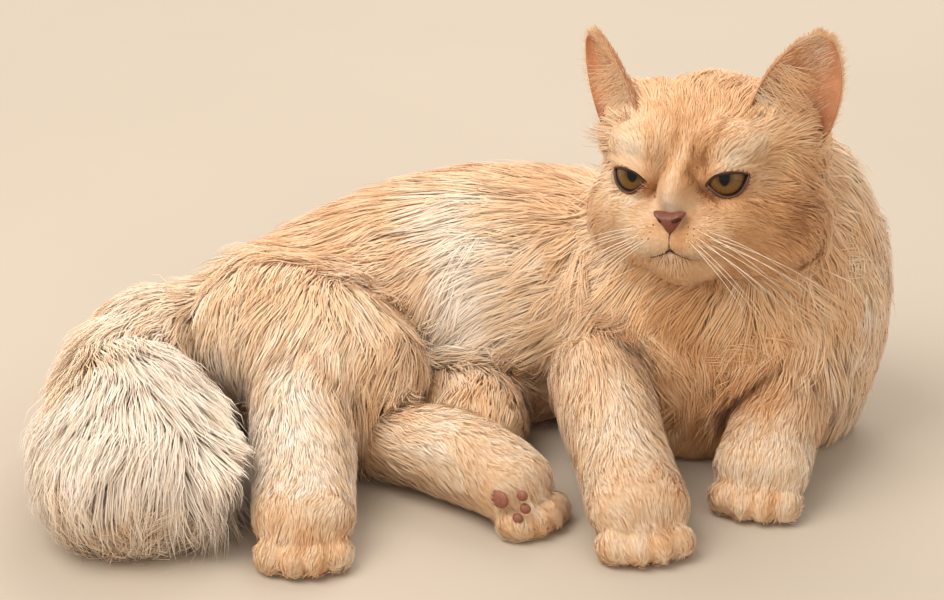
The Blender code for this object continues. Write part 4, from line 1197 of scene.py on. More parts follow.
@dataclass
class Fur:
    """Every coat piece of the cat, from the face to the tip of the tail."""

    ground: Ground
    markings_and_shade: MarkingsAndShade
    scale: float = 1.0

    def build(self) -> list[bpy.types.Object]:
        """Grows each coat piece."""
        coat = Coat(self.ground, self.markings_and_shade)
        groom = Groom()
        pieces = []
        local = HEAD.to_local(self.ground.centres)
        polar = np.arccos(np.clip(unit(local)[:, 1], -1, 1))
        on_head = self.ground.mask((Region.HEAD,))
        reach = np.linalg.norm(local - np.array(HEAD.nose_place), axis=1)
        face = on_head & (polar < 1.05)
        near_eye = self.closed_lids(local)
        fine = 1 / np.interp(reach, [0.006, 0.03, 0.05], [0.35, 0.8, 1.0])
        lip = np.exp(-(((local - (0.0, 0.046, -0.0280)) / (0.012, 0.016, 0.0026)) ** 2).sum(axis=1))
        fine = fine * (1 - 0.8 * lip)
        bare = (reach > 0.0062) & near_eye & ~self.in_mouth(local)
        even = np.ones_like(fine)
        legs = (Region.FORELEG_RIGHT, Region.FORELEG_LEFT), (Region.HIND_RIGHT, Region.HIND_LEFT)
        thighs = (Region.THIGH_RIGHT, Region.THIGH_LEFT)
        plans = (
            ("coat_face", face & bare, fine, 31000, SHORT_RINGS, 2600, None),
            ("coat_head", on_head & ~face, even, 17500, LONG_RINGS, 900, None),
            ("coat_ruff", self.front(True), even, 18500, LONG_RINGS, 620, (Region.FRONT,)),
            ("coat_bib", self.front(False), even, 15500, LONG_RINGS, 520, (Region.FRONT,)),
            ("coat_trunk", self.ground.mask((Region.TRUNK,)), even, 19500, LONG_RINGS, 760, (Region.TRUNK,)),
            ("coat_thighs", self.ground.mask(thighs), even, 10500, LONG_RINGS, 460, thighs),
            ("coat_tail", self.ground.mask((Region.TAIL,)), even, 19500, LONG_RINGS, 1000, (Region.TAIL,)),
            ("coat_forelegs", self.paws(legs[0]), self.paw_density(legs[0]), 23000, SHORT_RINGS, 1100, legs[0]),
            ("coat_hindlegs", self.paws(legs[1]), self.paw_density(legs[1]), 25000, SHORT_RINGS, 1100, legs[1]),
        )
        for order, (name, mask, density, count, rings, locks, regions) in enumerate(plans):
            draw = np.random.default_rng(SEED + order)
            count = int(count * self.scale)
            places, normals = self.ground.sample(draw, np.where(mask, density, 0), count)
            roots = groom.head(places, normals) if regions is None else groom.body(regions, places, normals)
            piece = coat.grow(name, roots, rings, draw, locks)
            log.info("%s: %d tufts, %d triangles", name, count, len(piece.data.polygons))
            pieces.append(piece)
        return pieces

    def front(self, upper: bool) -> np.ndarray:
        """The triangles of the ruff, or of the chest under it."""
        mask = self.ground.mask((Region.FRONT,))
        return mask & ((self.ground.centres[:, 2] > 0.078) == upper)

    def paws(self, regions: tuple[Region, ...]) -> np.ndarray:
        """The triangles of legs and paws."""
        return self.ground.mask(regions)

    def paw_density(self, regions: tuple[Region, ...]) -> np.ndarray:
        """Denser hair towards the ends of the legs, where it is finer."""
        dense = np.ones(len(self.ground.centres))
        for region in regions:
            near = BODY[region].nearest(self.ground.centres)
            here = self.ground.form == self.ground.forms.index(region)
            dense = np.where(here, 1 + 1.6 * ease(near["length"] / BODY[region].length, 0.35, 0.9), dense)
        return dense

    def closed_lids(self, local: np.ndarray) -> np.ndarray:
        """True away from the open eyes, the rims of the lids and their corners."""
        away = np.ones(len(local), bool)
        for side in (1, -1):
            across, outward, above = HEAD.eye_axes(side)
            gap = local - HEAD.eye(side)
            x = gap @ across / (HEAD.eye_width / 2 + 0.0010)
            z = gap @ above
            low = np.where(z < 0, HEAD.eye_lower, HEAD.eye_upper) + 0.0007
            inside = (gap @ outward > 0) & (np.abs(x) < 1) & (np.abs(z) < low * (1 - np.abs(x) ** 2.4) + 0.0006)
            away &= ~inside
        return away

    def in_mouth(self, local: np.ndarray) -> np.ndarray:
        """True on the line of the mouth and on the groove under the nose."""
        front = local[:, 1] > 0.02
        line = np.array([HEAD.mouth(side, s) for side in (1, -1) for s in np.linspace(0, 0.9, 20)])
        line = np.vstack([line, [(0.0, -0.0130 - 0.0005 * i) for i in range(20)]])
        gap = np.linalg.norm(local[:, None, ::2] - line[None], axis=2).min(axis=1) if front.any() else 1.0
        return front & (gap < 0.0007)


class Finish:
    """Shared ways of dressing a piece."""

    @staticmethod
    def material(name: str) -> tuple[bpy.types.Material, bpy.types.NodeTree, bpy.types.Node]:
        """A new material with its Principled shader."""
        made = bpy.data.materials.new(name)
        made.use_nodes = True
        return made, made.node_tree, made.node_tree.nodes["Principled BSDF"]

    @staticmethod
    def dress(obj: bpy.types.Object, material: bpy.types.Material) -> None:
        """Gives a piece one material."""
        obj.data.materials.clear()
        obj.data.materials.append(material)


class HairColour:
    """The node group that turns tone, place along the hair and a draw into its colour, with painted shade that darkens
    the hair towards its roots.
    """

    name = "hair colour"
    stops = (
        (0.00, colour(255, 243, 228)),
        (0.28, colour(247, 219, 184)),
        (0.52, colour(240, 196, 148)),
        (0.76, colour(222, 166, 112)),
        (1.00, colour(172, 116, 70)),
    )

    def build(self) -> bpy.types.NodeTree:
        """Makes the group."""
        group = bpy.data.node_groups.new(self.name, "ShaderNodeTree")
        for socket, value in (("Tone", 0.4), ("Along", 1.0), ("Shade", 0.5)):
            entry = group.interface.new_socket(socket, in_out="INPUT", socket_type="NodeSocketFloat")
            entry.default_value = value
        group.interface.new_socket("Color", in_out="OUTPUT", socket_type="NodeSocketColor")
        nodes, links = group.nodes, group.links
        given = nodes.new("NodeGroupInput")
        result = nodes.new("NodeGroupOutput")
        vary = nodes.new("ShaderNodeMath")
        vary.operation = "MULTIPLY_ADD"
        vary.inputs[1].default_value = 0.20
        vary.inputs[2].default_value = -0.10
        links.new(given.outputs["Shade"], vary.inputs[0])
        total = nodes.new("ShaderNodeMath")
        total.operation = "ADD"
        links.new(given.outputs["Tone"], total.inputs[0])
        links.new(vary.outputs[0], total.inputs[1])
        tips = nodes.new("ShaderNodeMath")
        tips.operation = "MULTIPLY_ADD"
        tips.inputs[1].default_value = 0.10
        links.new(given.outputs["Along"], tips.inputs[0])
        links.new(total.outputs[0], tips.inputs[2])
        ramp = nodes.new("ShaderNodeValToRGB")
        ramp.color_ramp.elements[0].position = self.stops[0][0]
        ramp.color_ramp.elements[0].color = self.stops[0][1]
        ramp.color_ramp.elements[1].position = self.stops[-1][0]
        ramp.color_ramp.elements[1].color = self.stops[-1][1]
        for position, value in self.stops[1:-1]:
            ramp.color_ramp.elements.new(position).color = value
        links.new(tips.outputs[0], ramp.inputs[0])
        # Painted shade: the colour darkens towards the root, standing in for the shade that hair casts on hair.
        dark = nodes.new("ShaderNodeMapRange")
        dark.interpolation_type = "SMOOTHSTEP"
        dark.inputs["From Min"].default_value = 0.0
        dark.inputs["From Max"].default_value = 0.55
        dark.inputs["To Min"].default_value = 0.94
        dark.inputs["To Max"].default_value = 1.0
        links.new(given.outputs["Along"], dark.inputs["Value"])
        shaded = nodes.new("ShaderNodeVectorMath")
        shaded.operation = "SCALE"
        links.new(ramp.outputs["Color"], shaded.inputs[0])
        links.new(dark.outputs["Result"], shaded.inputs["Scale"])
        links.new(shaded.outputs[0], result.inputs["Color"])
        return group


@dataclass(frozen=True)
class FurFinish:
    """Soft hair, lit through a little at its edges."""

    name: str = "cream fur"
    roughness: float = 0.62
    sheen: float = 0.20

    def build(self, group: bpy.types.NodeTree) -> bpy.types.Material:
        """Makes the material of the tufts."""
        made, tree, shader = Finish.material(self.name)
        mixer = tree.nodes.new("ShaderNodeGroup")
        mixer.node_tree = group
        for key in ("tone", "along", "shade"):
            read = tree.nodes.new("ShaderNodeAttribute")
            read.attribute_name = key
            tree.links.new(read.outputs["Fac"], mixer.inputs[key.capitalize()])
        tree.links.new(mixer.outputs["Color"], shader.inputs["Base Color"])
        shader.inputs["Roughness"].default_value = self.roughness
        shader.inputs["Specular IOR Level"].default_value = 0.30
        shader.inputs["Sheen Weight"].default_value = self.sheen
        shader.inputs["Sheen Roughness"].default_value = 0.5
        return made


@dataclass(frozen=True)
class SkinFinish:
    """Skin under short hair: the coat's tones, a fine nap and pink where it is bare."""

    name: str = "skin under fur"
    pink: tuple[float, float, float, float] = colour(150, 98, 72)

    def build(self, group: bpy.types.NodeTree) -> bpy.types.Material:
        """Makes the material of the skin."""
        made, tree, shader = Finish.material(self.name)
        mixer = tree.nodes.new("ShaderNodeGroup")
        mixer.node_tree = group
        mixer.inputs["Along"].default_value = 0.8
        tone = tree.nodes.new("ShaderNodeAttribute")
        tone.attribute_name = "tone"
        tree.links.new(tone.outputs["Fac"], mixer.inputs["Tone"])
        place = tree.nodes.new("ShaderNodeTexCoord")
        grain = tree.nodes.new("ShaderNodeTexNoise")
        grain.inputs["Scale"].default_value = 900.0
        grain.inputs["Detail"].default_value = 3.0
        tree.links.new(place.outputs["Object"], grain.inputs["Vector"])
        tree.links.new(grain.outputs["Fac"], mixer.inputs["Shade"])
        bare = tree.nodes.new("ShaderNodeAttribute")
        bare.attribute_name = "bare"
        blend = tree.nodes.new("ShaderNodeMix")
        blend.data_type = "RGBA"
        blend.inputs["B"].default_value = self.pink
        tree.links.new(bare.outputs["Fac"], blend.inputs["Factor"])
        tree.links.new(mixer.outputs["Color"], blend.inputs["A"])
        tree.links.new(blend.outputs["Result"], shader.inputs["Base Color"])
        bump = tree.nodes.new("ShaderNodeBump")
        bump.inputs["Strength"].default_value = 0.5
        bump.inputs["Distance"].default_value = 0.0006
        tree.links.new(grain.outputs["Fac"], bump.inputs["Height"])
        tree.links.new(bump.outputs["Normal"], shader.inputs["Normal"])
        shader.inputs["Roughness"].default_value = 0.75
        shader.inputs["Specular IOR Level"].default_value = 0.2
        return made


@dataclass(frozen=True)
class PlainFinish:
    """A small piece in one material with a fine grain: leather, claw, lid or whisker."""

    name: str
    dark: tuple[float, float, float, float]
    light: tuple[float, float, float, float]
    roughness: float
    grain: float = 700.0
    bump: float = 0.0002
    coat: float = 0.0

    def build(self) -> bpy.types.Material:
        """Makes the material."""
        made, tree, shader = Finish.material(self.name)
        place = tree.nodes.new("ShaderNodeTexCoord")
        grain = tree.nodes.new("ShaderNodeTexNoise")
        grain.inputs["Scale"].default_value = self.grain
        grain.inputs["Detail"].default_value = 4.0
        tree.links.new(place.outputs["Object"], grain.inputs["Vector"])
        ramp = tree.nodes.new("ShaderNodeValToRGB")
        ramp.color_ramp.elements[0].position = 0.3
        ramp.color_ramp.elements[0].color = self.dark
        ramp.color_ramp.elements[1].position = 0.7
        ramp.color_ramp.elements[1].color = self.light
        tree.links.new(grain.outputs["Fac"], ramp.inputs[0])
        tree.links.new(ramp.outputs["Color"], shader.inputs["Base Color"])
        bump = tree.nodes.new("ShaderNodeBump")
        bump.inputs["Strength"].default_value = 0.6
        bump.inputs["Distance"].default_value = self.bump
        tree.links.new(grain.outputs["Fac"], bump.inputs["Height"])
        tree.links.new(bump.outputs["Normal"], shader.inputs["Normal"])
        shader.inputs["Roughness"].default_value = self.roughness
        shader.inputs["Coat Weight"].default_value = self.coat
        shader.inputs["Coat Roughness"].default_value = 0.15
        return made


@dataclass(frozen=True)
class EyeFinish:
    """A wet eye: olive-brown iris with rays, a dark upright pupil and a dark rim."""

    name: str
    outer: tuple[float, float, float, float] = colour(74, 46, 18)
    middle: tuple[float, float, float, float] = colour(118, 84, 38)
    inner: tuple[float, float, float, float] = colour(80, 52, 22)
    pupil: tuple[float, float, float, float] = colour(6, 4, 3)
    white: tuple[float, float, float, float] = colour(50, 30, 20)

    def build(self, centre: np.ndarray, across: np.ndarray, above: np.ndarray, iris: float) -> bpy.types.Material:
        """Makes the material of one eye.

        Args:
            centre: The middle of the iris on the gaze's axis, in the frame.
            across: Across the eye, away from the nose.
            above: Up the eye.
            iris: The iris's radius.

        Returns:
            The material.
        """
        made, tree, shader = Finish.material(self.name)
        nodes, links = tree.nodes, tree.links
        place = nodes.new("ShaderNodeTexCoord")
        gap = nodes.new("ShaderNodeVectorMath")
        gap.operation = "SUBTRACT"
        gap.inputs[1].default_value = centre
        links.new(place.outputs["Object"], gap.inputs[0])
        coordinates = []
        for axis in (across, above):
            dot = nodes.new("ShaderNodeVectorMath")
            dot.operation = "DOT_PRODUCT"
            dot.inputs[1].default_value = axis / iris
            links.new(gap.outputs[0], dot.inputs[0])
            coordinates.append(dot.outputs["Value"])
        flat = nodes.new("ShaderNodeCombineXYZ")
        links.new(coordinates[0], flat.inputs[0])
        links.new(coordinates[1], flat.inputs[1])
        reach = nodes.new("ShaderNodeVectorMath")
        reach.operation = "LENGTH"
        links.new(flat.outputs[0], reach.inputs[0])
        slit = nodes.new("ShaderNodeVectorMath")
        slit.operation = "MULTIPLY"
        slit.inputs[1].default_value = (1.0 / 0.30, 1.0 / 0.52, 0.0)
        links.new(flat.outputs[0], slit.inputs[0])
        slit_reach = nodes.new("ShaderNodeVectorMath")
        slit_reach.operation = "LENGTH"
        links.new(slit.outputs[0], slit_reach.inputs[0])
        ring = nodes.new("ShaderNodeValToRGB")
        stops = ((0.0, self.inner), (0.38, self.inner), (0.62, self.middle), (0.86, self.middle), (0.97, self.outer))
        ring.color_ramp.elements[0].color = self.inner
        ring.color_ramp.elements[1].position = 1.0
        ring.color_ramp.elements[1].color = self.white
        for position, value in stops[1:]:
            ring.color_ramp.elements.new(position).color = value
        links.new(reach.outputs["Value"], ring.inputs[0])
        turn = nodes.new("ShaderNodeVectorMath")
        turn.operation = "NORMALIZE"
        links.new(flat.outputs[0], turn.inputs[0])
        rays = nodes.new("ShaderNodeTexNoise")
        rays.inputs["Scale"].default_value = 9.0
        rays.inputs["Detail"].default_value = 3.0
        links.new(turn.outputs[0], rays.inputs["Vector"])
        streak = nodes.new("ShaderNodeMapRange")
        streak.inputs["From Min"].default_value = 0.3
        streak.inputs["From Max"].default_value = 0.7
        streak.inputs["To Min"].default_value = 0.72
        streak.inputs["To Max"].default_value = 1.15
        links.new(rays.outputs["Fac"], streak.inputs["Value"])
        rayed = nodes.new("ShaderNodeVectorMath")
        rayed.operation = "SCALE"
        links.new(ring.outputs["Color"], rayed.inputs[0])
        links.new(streak.outputs["Result"], rayed.inputs["Scale"])
        edge = nodes.new("ShaderNodeMapRange")
        edge.inputs["From Min"].default_value = 0.93
        edge.inputs["From Max"].default_value = 1.07
        links.new(slit_reach.outputs["Value"], edge.inputs["Value"])
        painted = nodes.new("ShaderNodeMix")
        painted.data_type = "RGBA"
        painted.inputs["A"].default_value = self.pupil
        links.new(edge.outputs["Result"], painted.inputs["Factor"])
        links.new(rayed.outputs[0], painted.inputs["B"])
        links.new(painted.outputs["Result"], shader.inputs["Base Color"])
        shader.inputs["Roughness"].default_value = 0.30
        shader.inputs["Specular IOR Level"].default_value = 0.10
        shader.inputs["Coat Weight"].default_value = 0.35
        shader.inputs["Coat Roughness"].default_value = 0.04
        return made


@dataclass(frozen=True)
class EarFinish:
    """Thin ear leather: pink-orange, with painted shade that darkens it deep in the ear, and faint veins."""

    name: str = "ear leather"

    def build(self) -> bpy.types.Material:
        """Makes the material."""
        made, tree, shader = Finish.material(self.name)
        nodes, links = tree.nodes, tree.links
        # Painted shade: the leather darkens to near black towards the ear's hollow.
        depth = nodes.new("ShaderNodeAttribute")
        depth.attribute_name = "deep"
        ramp = nodes.new("ShaderNodeValToRGB")
        ramp.color_ramp.elements[0].color = colour(204, 140, 98)
        ramp.color_ramp.elements[1].color = colour(62, 34, 22)
        ramp.color_ramp.elements.new(0.45).color = colour(146, 86, 56)
        links.new(depth.outputs["Fac"], ramp.inputs[0])
        place = nodes.new("ShaderNodeTexCoord")
        veins = nodes.new("ShaderNodeTexNoise")
        veins.inputs["Scale"].default_value = 150.0
        veins.inputs["Detail"].default_value = 5.0
        links.new(place.outputs["Object"], veins.inputs["Vector"])
        level = nodes.new("ShaderNodeMapRange")
        level.inputs["From Min"].default_value = 0.35
        level.inputs["From Max"].default_value = 0.65
        level.inputs["To Min"].default_value = 0.86
        level.inputs["To Max"].default_value = 1.06
        links.new(veins.outputs["Fac"], level.inputs["Value"])
        mixed = nodes.new("ShaderNodeVectorMath")
        mixed.operation = "SCALE"
        links.new(ramp.outputs["Color"], mixed.inputs[0])
        links.new(level.outputs["Result"], mixed.inputs["Scale"])
        links.new(mixed.outputs[0], shader.inputs["Base Color"])
        bump = nodes.new("ShaderNodeBump")
        bump.inputs["Strength"].default_value = 0.4
        bump.inputs["Distance"].default_value = 0.0004
        links.new(veins.outputs["Fac"], bump.inputs["Height"])
        links.new(bump.outputs["Normal"], shader.inputs["Normal"])
        shader.inputs["Roughness"].default_value = 0.62
        shader.inputs["Subsurface Weight"].default_value = 0.25
        shader.inputs["Subsurface Scale"].default_value = 0.002
        return made


@dataclass
class Eyes:
    """Both eyeballs and the dark rims of their lids."""

    iris: float = 0.0084
    bulge: float = 0.0006
    rim: float = 0.00065

    def build(self, shift: np.ndarray) -> list[bpy.types.Object]:
        """Models and dresses both eyes.

        Args:
            shift: Where the cat's starting point lies in the frame.

        Returns:
            The eyeballs and lid rims.
        """
        pieces = []
        for side, name in ((1, "left"), (-1, "right")):
            across, outward, above = HEAD.eye_axes(side)
            gaze = unit(np.array([0.20 if side > 0 else 0.04, 0.97, 0.19]))
            ball = self.ball(f"eyeball_{name}", side, gaze)
            centre = HEAD.to_world(HEAD.eye(side) + gaze * self.iris * 0.6)[0] + shift
            level = unit(np.cross(gaze, [0.0, 0.0, 1.0])) * side
            upward = np.cross(level, gaze) * side
            finish = EyeFinish(f"eye {name}").build(centre, level @ HEAD.axes, upward @ HEAD.axes, self.iris)
            Finish.dress(ball, finish)
            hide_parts(f"eye_{name}")
            pieces += [ball, self.lids(f"lid_rim_{name}", side)]
        return pieces

    def ball(self, name: str, side: int, gaze: np.ndarray) -> bpy.types.Object:
        """One eyeball with the clear front standing out a little."""
        place = HEAD.to_world(HEAD.eye(side))[0]
        bpy.ops.mesh.primitive_uv_sphere_add(segments=72, ring_count=48, radius=HEAD.eye_radius - 0.0001, location=place)
        ball = bpy.context.object
        ball.name = ball.data.name = name
        only(ball)
        bpy.ops.object.transform_apply(location=True, rotation=False, scale=False)
        points = points_of(ball)
        facing = unit(points - place) @ (gaze @ HEAD.axes)
        swell = ease(facing, math.cos(math.asin(0.80)), 1.0) * self.bulge
        set_points(ball, points + unit(points - place) * swell[:, None])
        ball.data.shade_smooth()
        return ball

    def lids(self, name: str, side: int) -> bpy.types.Object:
        """The thin dark edge of both lids, wider in the inner corner."""
        across, outward, above = HEAD.eye_axes(side)
        line = HEAD.lid_line(side, 26)
        centre = HEAD.eye(side)
        points = []
        sides = 8
        reach = HEAD.eye_radius + 0.0006
        for x, z in line:
            flat = across * x + above * z
            depth = math.sqrt(max(reach**2 - x * x - z * z, 1e-8))
            place = centre + flat + outward * depth
            away = unit(flat)
            out = unit(place - centre)
            share = x / (HEAD.eye_width / 2)
            size = self.rim * (1 + 1.0 * max(0.0, -share - 0.55) + 0.35 * (z > 0))
            for k in range(sides):
                a = 2 * math.pi * k / sides
                points.append(place + away * size * math.cos(a) + out * size * 0.9 * math.sin(a))
        faces = []
        count = len(line)
        for r in range(count):
            for k in range(sides):
                n, q = (r + 1) % count, (k + 1) % sides
                faces.append((r * sides + k, r * sides + q, n * sides + q, n * sides + k))
        rim = face_out(new_object(name, HEAD.to_world(np.array(points)), np.array(faces)))
        return rim


@dataclass
class Nose:
    """The bare nose leather, wide above and pointed below, with two nostrils."""

    place: tuple[float, float, float] = (0.0, 0.0498, -0.0094)
    half: tuple[float, float, float] = (0.0086, 0.0050, 0.0072)
    nostril: tuple[float, float, float] = (0.0046, 0.0536, -0.0089)
    corner: float = 7.0

    def build(self) -> bpy.types.Object:
        """Models the nose."""
        bpy.ops.mesh.primitive_uv_sphere_add(segments=72, ring_count=48, radius=1.0, location=(0, 0, 0))
        nose = bpy.context.object
        nose.name = nose.data.name = "nose"
        points = points_of(nose)
        points = points[:, [0, 2, 1]]
        turn = np.arctan2(points[:, 2], points[:, 0])
        edges = ((math.pi / 2, 0.56), (math.atan2(-1.0, 1.56), 0.54), (math.atan2(-1.0, -1.56), 0.54))
        blunt = sum((np.maximum(np.cos(turn - angle), 0) / away) ** self.corner for angle, away in edges)
        reach = blunt ** (-1 / self.corner)
        points[:, 0] *= reach
        points[:, 2] *= reach
        flat = points[:, 1] > 0
        groove = np.exp(-((points[:, 0] / 0.07) ** 2)) * ease(-points[:, 2], -0.3, 0.4)
        points[:, 1] -= np.where(flat, 0.14 * groove, 0)
        for side in (1, -1):
            wing = np.exp(-(((points[:, 0] - side * 0.62) / 0.28) ** 2) - ((points[:, 2] - 0.10) / 0.40) ** 2)
            points[:, 1] += np.where(flat, 0.22 * wing, 0)
        points[:, 2] -= 0.10 * np.exp(-((points[:, 0] / 0.35) ** 2)) * (points[:, 2] > 0.3)
        set_points(nose, HEAD.to_world(points * np.array(self.half) + np.array(self.place)))
        for side in (1, -1):
            cut(nose, self.hole(side), "DIFFERENCE", "EXACT")
        nose.data.shade_smooth()
        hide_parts("nose_leather")
        return nose

    def hole(self, side: int) -> bpy.types.Object:
        """A comma-shaped nostril that opens out to the side."""
        bpy.ops.mesh.primitive_uv_sphere_add(segments=24, ring_count=16, radius=1.0, location=(0, 0, 0))
        hole = bpy.context.object
        points = points_of(hole)
        bend = points * np.array([0.0024, 0.0026, 0.0011])
        bend[:, 2] += 0.30 * np.abs(bend[:, 0]) * np.sign(bend[:, 0]) * 1.0
        bend[:, 0] *= side
        place = np.array([self.nostril[0] * side, self.nostril[1], self.nostril[2]])
        set_points(hole, HEAD.to_world(bend + place))
        return face_out(hole)


@dataclass
class Ears:
    """Two cupped ears, their fringes of short hair and the long hairs inside."""

    root: tuple[float, float, float] = (0.033, -0.006, 0.022)
    tip: tuple[float, float, float] = (0.0575, -0.004, 0.0700)
    width: float = 0.0365
    thick: float = 0.0018
    cup: float = 0.012
    curl: float = math.radians(62)
    outward: tuple[float, float] = (0.55, 0.95)
    rows: int = 30
    columns: int = 26

    def axes(self, side: int) -> tuple[np.ndarray, np.ndarray, np.ndarray, np.ndarray, np.ndarray]:
        """The ear's root, tip, long axis, width axis and the way it opens."""
        root = np.array([self.root[0] * side, self.root[1], self.root[2]])
        tip = np.array([self.tip[0] * side, self.tip[1], self.tip[2]])
        axis = unit(tip - root)
        turn = self.outward[0] if side > 0 else -self.outward[1]
        across = unit(np.cross(axis, (turn, 1.0, 0.10)))
        facing = np.cross(across, axis)
        facing = -facing if facing[1] < 0 else facing
        return root, tip, axis, across, facing

    def leaf(self, side: int, t: np.ndarray, s: np.ndarray, layer: float) -> np.ndarray:
        """Places of the ear in its head's axes.

        Args:
            side: 1 for the left ear and -1 for the right.
            t: Shares of the way to the tip.
            s: Shares across, from -1 to 1.
            layer: 1 for the inside, -1 for the back, 0 between.

        Returns:
            Rows of places.
        """
        root, tip, _, across, facing = self.axes(side)
        belly = 1 + 0.10 * np.sin(math.pi * t)
        half = self.width / 2 * (1 - t**2.8) ** 0.62 * belly
        bend = s * self.curl
        rise = self.cup * (1 - t * 0.75) * (1 - np.cos(bend)) / (1 - math.cos(self.curl))
        place = root + (tip - root) * t[:, None] + across * (half * np.sin(bend) / math.sin(self.curl))[:, None]
        thin = (self.thick / 2) * (1 - 0.5 * s * s) * (1 - 0.35 * t)
        return place + facing * (rise + thin * layer)[:, None]

    def build(self) -> list[bpy.types.Object]:
        """Models both ears."""
        pieces = []
        for side, name in ((1, "left"), (-1, "right")):
            t, s = np.meshgrid(
                0.975 * (np.arange(self.rows) / (self.rows - 1)) ** 0.85,
                np.linspace(-1, 1, self.columns),
                indexing="ij",
            )
            t, s = t.ravel(), s.ravel()
            points = np.vstack([self.leaf(side, t, s, -1), self.leaf(side, t, s, 1)])
            ear = new_object(f"ear_shell_{name}", HEAD.to_world(points), self.faces())
            face_out(ear)
            inside = np.concatenate([np.zeros(len(t)), np.ones(len(t))])
            # Painted shade in the ear's hollow: strongest inside, near the base and middle of the ear.
            deep = inside * np.tile(np.clip(1.15 - t * 2.4, 0, 1) * (1 - 0.55 * np.abs(s)), 2)
            set_value(ear, "deep", deep)
            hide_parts(f"ear_{name}")
            pieces.append(ear)
        return pieces

    def faces(self) -> np.ndarray:
        """Triangles of the ear's two skins, joined round the rim."""
        faces = []
        size = self.rows * self.columns
        for r in range(self.rows - 1):
            for c in range(self.columns - 1):
                k = r * self.columns + c
                faces += [(k, k + self.columns, k + 1), (k + 1, k + self.columns, k + self.columns + 1)]
                faces += [(k + size, k + 1 + size, k + self.columns + size)]
                faces += [(k + 1 + size, k + self.columns + 1 + size, k + self.columns + size)]
        rim = list(range(self.columns))
        rim += [r * self.columns + self.columns - 1 for r in range(1, self.rows)]
        rim += [(self.rows - 1) * self.columns + c for c in range(self.columns - 2, -1, -1)]
        rim += [r * self.columns for r in range(self.rows - 2, 0, -1)]
        for i, k in enumerate(rim):
            n = rim[(i + 1) % len(rim)]
            faces += [(k, n, n + size), (k, n + size, k + size)]
        return np.array(faces)

    def hair(self, coat: Coat) -> list[bpy.types.Object]:
        """Short hair on the backs and rims, and long pale hair across the openings."""
        pieces = []
        for side, name in ((1, "left"), (-1, "right")):
            draw = np.random.default_rng(SEED + 40 + side)
            root, tip, axis, across, facing = self.axes(side)
            inner = -1 if np.dot(across, (side, 0, 0)) > 0 else 1
            sets = []
            back = 2400
            t, s = draw.uniform(0, 0.97, back), draw.uniform(-1, 1, back)
            lean = axis * 1.0 + across * 0.15 * s[:, None]
            sets.append((t, s, -1.0, lean, 0.0040, 0.0005, 0.00038, -1.0))
            rim = 900
            t = draw.uniform(0.02, 0.99, rim)
            s = draw.choice([-1.0, 1.0], rim)
            lean = axis * 1.0 + across * 0.5 * s[:, None] - facing * 0.2
            sets.append((t, s, 0.0, lean, 0.0017, 0.0003, 0.00024, -1.0))
            fringe = 300
            t = draw.uniform(0.04, 0.66, fringe)
            s = inner * draw.uniform(0.60, 1.0, fringe)
            lean = axis * draw.uniform(-0.55, 0.30, (fringe, 1)) - across * inner * draw.uniform(0.8, 1.1, (fringe, 1))
            sets.append((t, s, 1.0, lean + facing * 0.25, 0.020, 0.0040, 0.00026, 1.0))
            velvet = 1500
            t, s = draw.uniform(0.0, 0.96, velvet), draw.uniform(-0.96, 0.96, velvet)
            lean = axis * 0.8 - across * inner * 0.6
            sets.append((t, s, 1.0, lean, 0.0055, 0.0006, 0.00020, 1.0))
            base = 260
            t = draw.uniform(0.0, 0.14, base)
            s = draw.uniform(-1, 1, base)
            lean = axis * 1.0 + facing * 0.7 + across * 0.3 * s[:, None]
            sets.append((t, s, 1.0, lean, 0.012, 0.0050, 0.00034, 1.0))
            full, roots = self.strands(side, sets, draw)
            facings = np.repeat(roots.normals[:, None], len(GUIDE_STEPS), axis=1)
            piece = coat.blades(f"coat_ear_{name}", roots, full, facings, LONG_RINGS, draw)
            pieces.append(piece)
        return pieces

    def strands(self, side: int, sets: list[tuple], draw: np.random.Generator) -> tuple[np.ndarray, Roots]:
        """Paths and roots of an ear's hairs from rows of settings."""
        paths, rows = [], []
        _, _, _, _, facing = self.axes(side)
        for t, s, layer, lean, length, lift, width, out in sets:
            place = self.leaf(side, t, s, layer)
            normal = np.repeat(facing[None] * out, len(t), axis=0)
            flow = unit(unit(lean) + draw.normal(0, 0.14, (len(t), 3)))
            size = length * draw.uniform(0.6, 1.2, len(t))
            steps = GUIDE_STEPS[None, :, None]
            path = place[:, None] + flow[:, None] * steps * size[:, None, None]
            bow = normal * (lift * draw.uniform(0.4, 1.2, len(t)))[:, None]
            path = path + bow[:, None] * np.sin(steps * math.pi * 0.62)
            world = HEAD.to_world(path.reshape(-1, 3)).reshape(path.shape)
            paths.append(world)
            chart = np.stack([(s + 1) / 2, t], axis=1)
            rows.append((world[:, 0], normal @ HEAD.axes, flow @ HEAD.axes, size, np.full(len(t), width), chart))
        places, normals, flow, size, width, chart = (np.concatenate([row[k] for row in rows]) for k in range(6))
        zero = np.zeros(len(places))
        return np.concatenate(paths), Roots(places, normals, flow, size, width, zero, zero, zero, zero, zero, chart)


